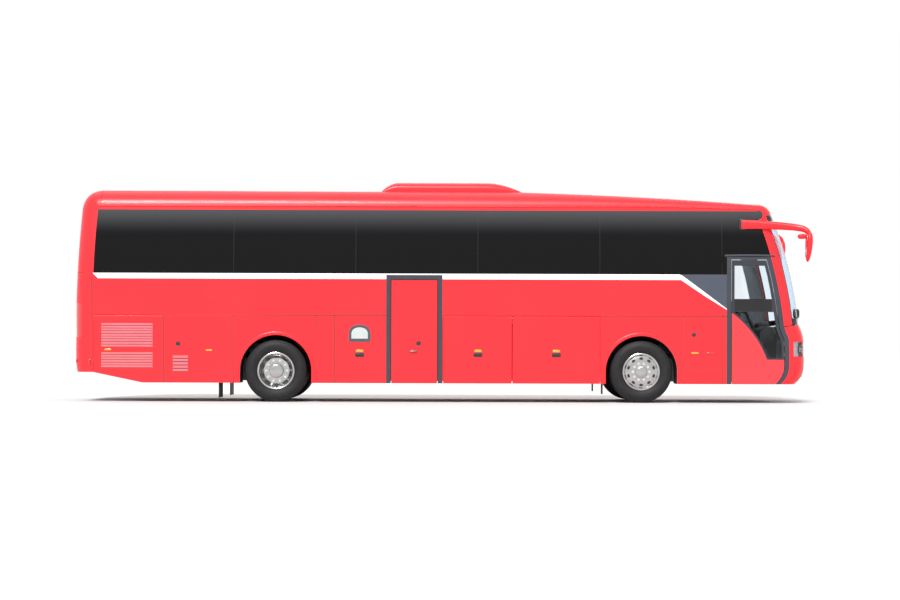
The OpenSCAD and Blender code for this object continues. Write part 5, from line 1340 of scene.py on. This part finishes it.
# Floor and steps. The deck is sealed plywood under speckled grey vinyl; the steps are black rubber
# with bright nosings along their edges.
# Columns: rear end, front end, y, z
NOSINGS = [(4.690, 5.356, -1.188, 0.431), (4.690, 5.356, -0.896, 0.671), (-0.834, -0.076, -1.188, 0.431),
           (-0.834, -0.076, -0.966, 0.741), (-0.834, -0.076, -0.736, 1.041)]
NOSING_HALF = (0.016, 0.0035)
vinyl = mottled("floor_vinyl", (0.09, 0.095, 0.105), (0.2, 0.205, 0.215), 0.55, scale=160.0,
                bump=0.1, bump_scale=300.0)
step_rubber = mottled("step_rubber", (0.03, 0.03, 0.032), (0.06, 0.06, 0.063), 0.7, scale=20.0,
                      bump=0.4, bump_scale=90.0)
nosing_yellow = mottled("nosing_yellow", (0.62, 0.42, 0.02), (0.75, 0.52, 0.04), 0.5, scale=30.0,
                        bump=0.2, bump_scale=300.0)
dress(vinyl, "floor_deck")
dress(step_rubber, "entry_steps")
nosings = [swept(np.linspace((x0, y, z), (x1, y, z), 6), *NOSING_HALF) for x0, x1, y, z in NOSINGS]
make_piece("step_nosings", *gather(nosings), nosing_yellow, "body", "step_plastic")


# Tail details. A bumper joint and an upper joint cross the cap, the hatch has a bank of louvre slots,
# and red reflectors sit low on the tail and on the corners.
BUMPER_JOINT_Z, UPPER_JOINT_Z, JOINT_HALF, JOINT_GAP = 0.849, 2.09, 0.004, 0.004
SIDE_JOINTS = (("bumper_joint", BUMPER_JOINT_Z, HATCH_Y), ("upper_joint", UPPER_JOINT_Z, REAR_GLASS_Y))
REFLECTOR_Y, REFLECTOR_Z, REFLECTOR_SINK, REFLECTOR_HALF = 1.06, 0.655, 0.006, (0.009, 0.05, 0.03)
CORNER_REFLECTOR, CORNER_HALF = (-5.716, 0.64), (0.016, 0.05)
SLOTS, SLOT_TOP, SLOT_PITCH, SLOT_Y = 8, 1.74, 0.055, 0.62
SLOT_HALF, SLOT_T, SLOT_PROUD = 0.011, 0.003, 0.0012


def cap_line(name, z, s0, s1, body="body"):
    """Thin dark joint line along the tail at one height, between two places across it."""
    row = rear_v(z)
    skin_panel(name, np.array([row - JOINT_HALF, row + JOINT_HALF]), fill(s0, s1, step=0.04), LINE_T,
               rubber_black, "black_trim", body, -LINE_PROUD)


cap_line("bumper_joint_hatch", BUMPER_JOINT_Z, -hatch_s, hatch_s, "engine_hatch")
for side, sign in SIDES:
    for name, z, inner_y in SIDE_JOINTS:
        cap_line(f"{name}_{side}", z, *sorted((sign * rear_s(inner_y + JOINT_GAP), sign * 1.0)))
    spot = skin(rear_v(REFLECTOR_Z), sign * rear_s(REFLECTOR_Y)) + [REFLECTOR_SINK, 0, 0]
    make_piece(f"tail_reflector_{side}", *rounded_form(spot, REFLECTOR_HALF, 0.5, 0.5), lens_red, "body",
               "lamp_red")
    make_piece(f"corner_reflector_{side}", *marker(*CORNER_REFLECTOR, sign, CORNER_HALF), lens_red, "body",
               "lamp_red")
slot_s = rear_s(SLOT_Y)
for k in range(SLOTS):
    row = rear_v(SLOT_TOP - SLOT_PITCH * k)
    skin_panel(f"hatch_slot_{k + 1}", np.array([row - SLOT_HALF, row, row + SLOT_HALF]),
               fill(-slot_s, slot_s, step=0.05), SLOT_T, plastic_black, "black_trim", "engine_hatch",
               -SLOT_PROUD)


# Plates. Blank pressed plates of white-painted sheet: one is fixed to the hatch, and one to the bumper
# over the air intake.
REAR_PLATE_Z, REAR_PLATE_SINK, REAR_PLATE_HALF = 1.02, 0.004, (0.005, 0.26, 0.056)
FRONT_PLATE_Z, FRONT_PLATE_Y, FRONT_PLATE_T, FRONT_PLATE_PROUD = (0.62, 0.72), 0.26, 0.004, 0.0003
plate_white = mottled("plate_white", (0.70, 0.70, 0.69), (0.80, 0.80, 0.79), 0.4, scale=20.0,
                      bump=0.1, bump_scale=300.0)
rear_spot = skin(rear_v(REAR_PLATE_Z), 0.0) + [REAR_PLATE_SINK, 0, 0]
make_piece("rear_plate", *rounded_form(rear_spot, REAR_PLATE_HALF, 0.2, 0.2, 40, 12), plate_white,
           "engine_hatch", "paint_red")
plate_s = front_s(FRONT_PLATE_Y)
skin_panel("front_plate", fill(*[front_v(z) for z in FRONT_PLATE_Z], step=0.05),
           fill(-plate_s, plate_s, step=0.04), FRONT_PLATE_T, plate_white, "paint_red",
           depth=-FRONT_PLATE_PROUD)
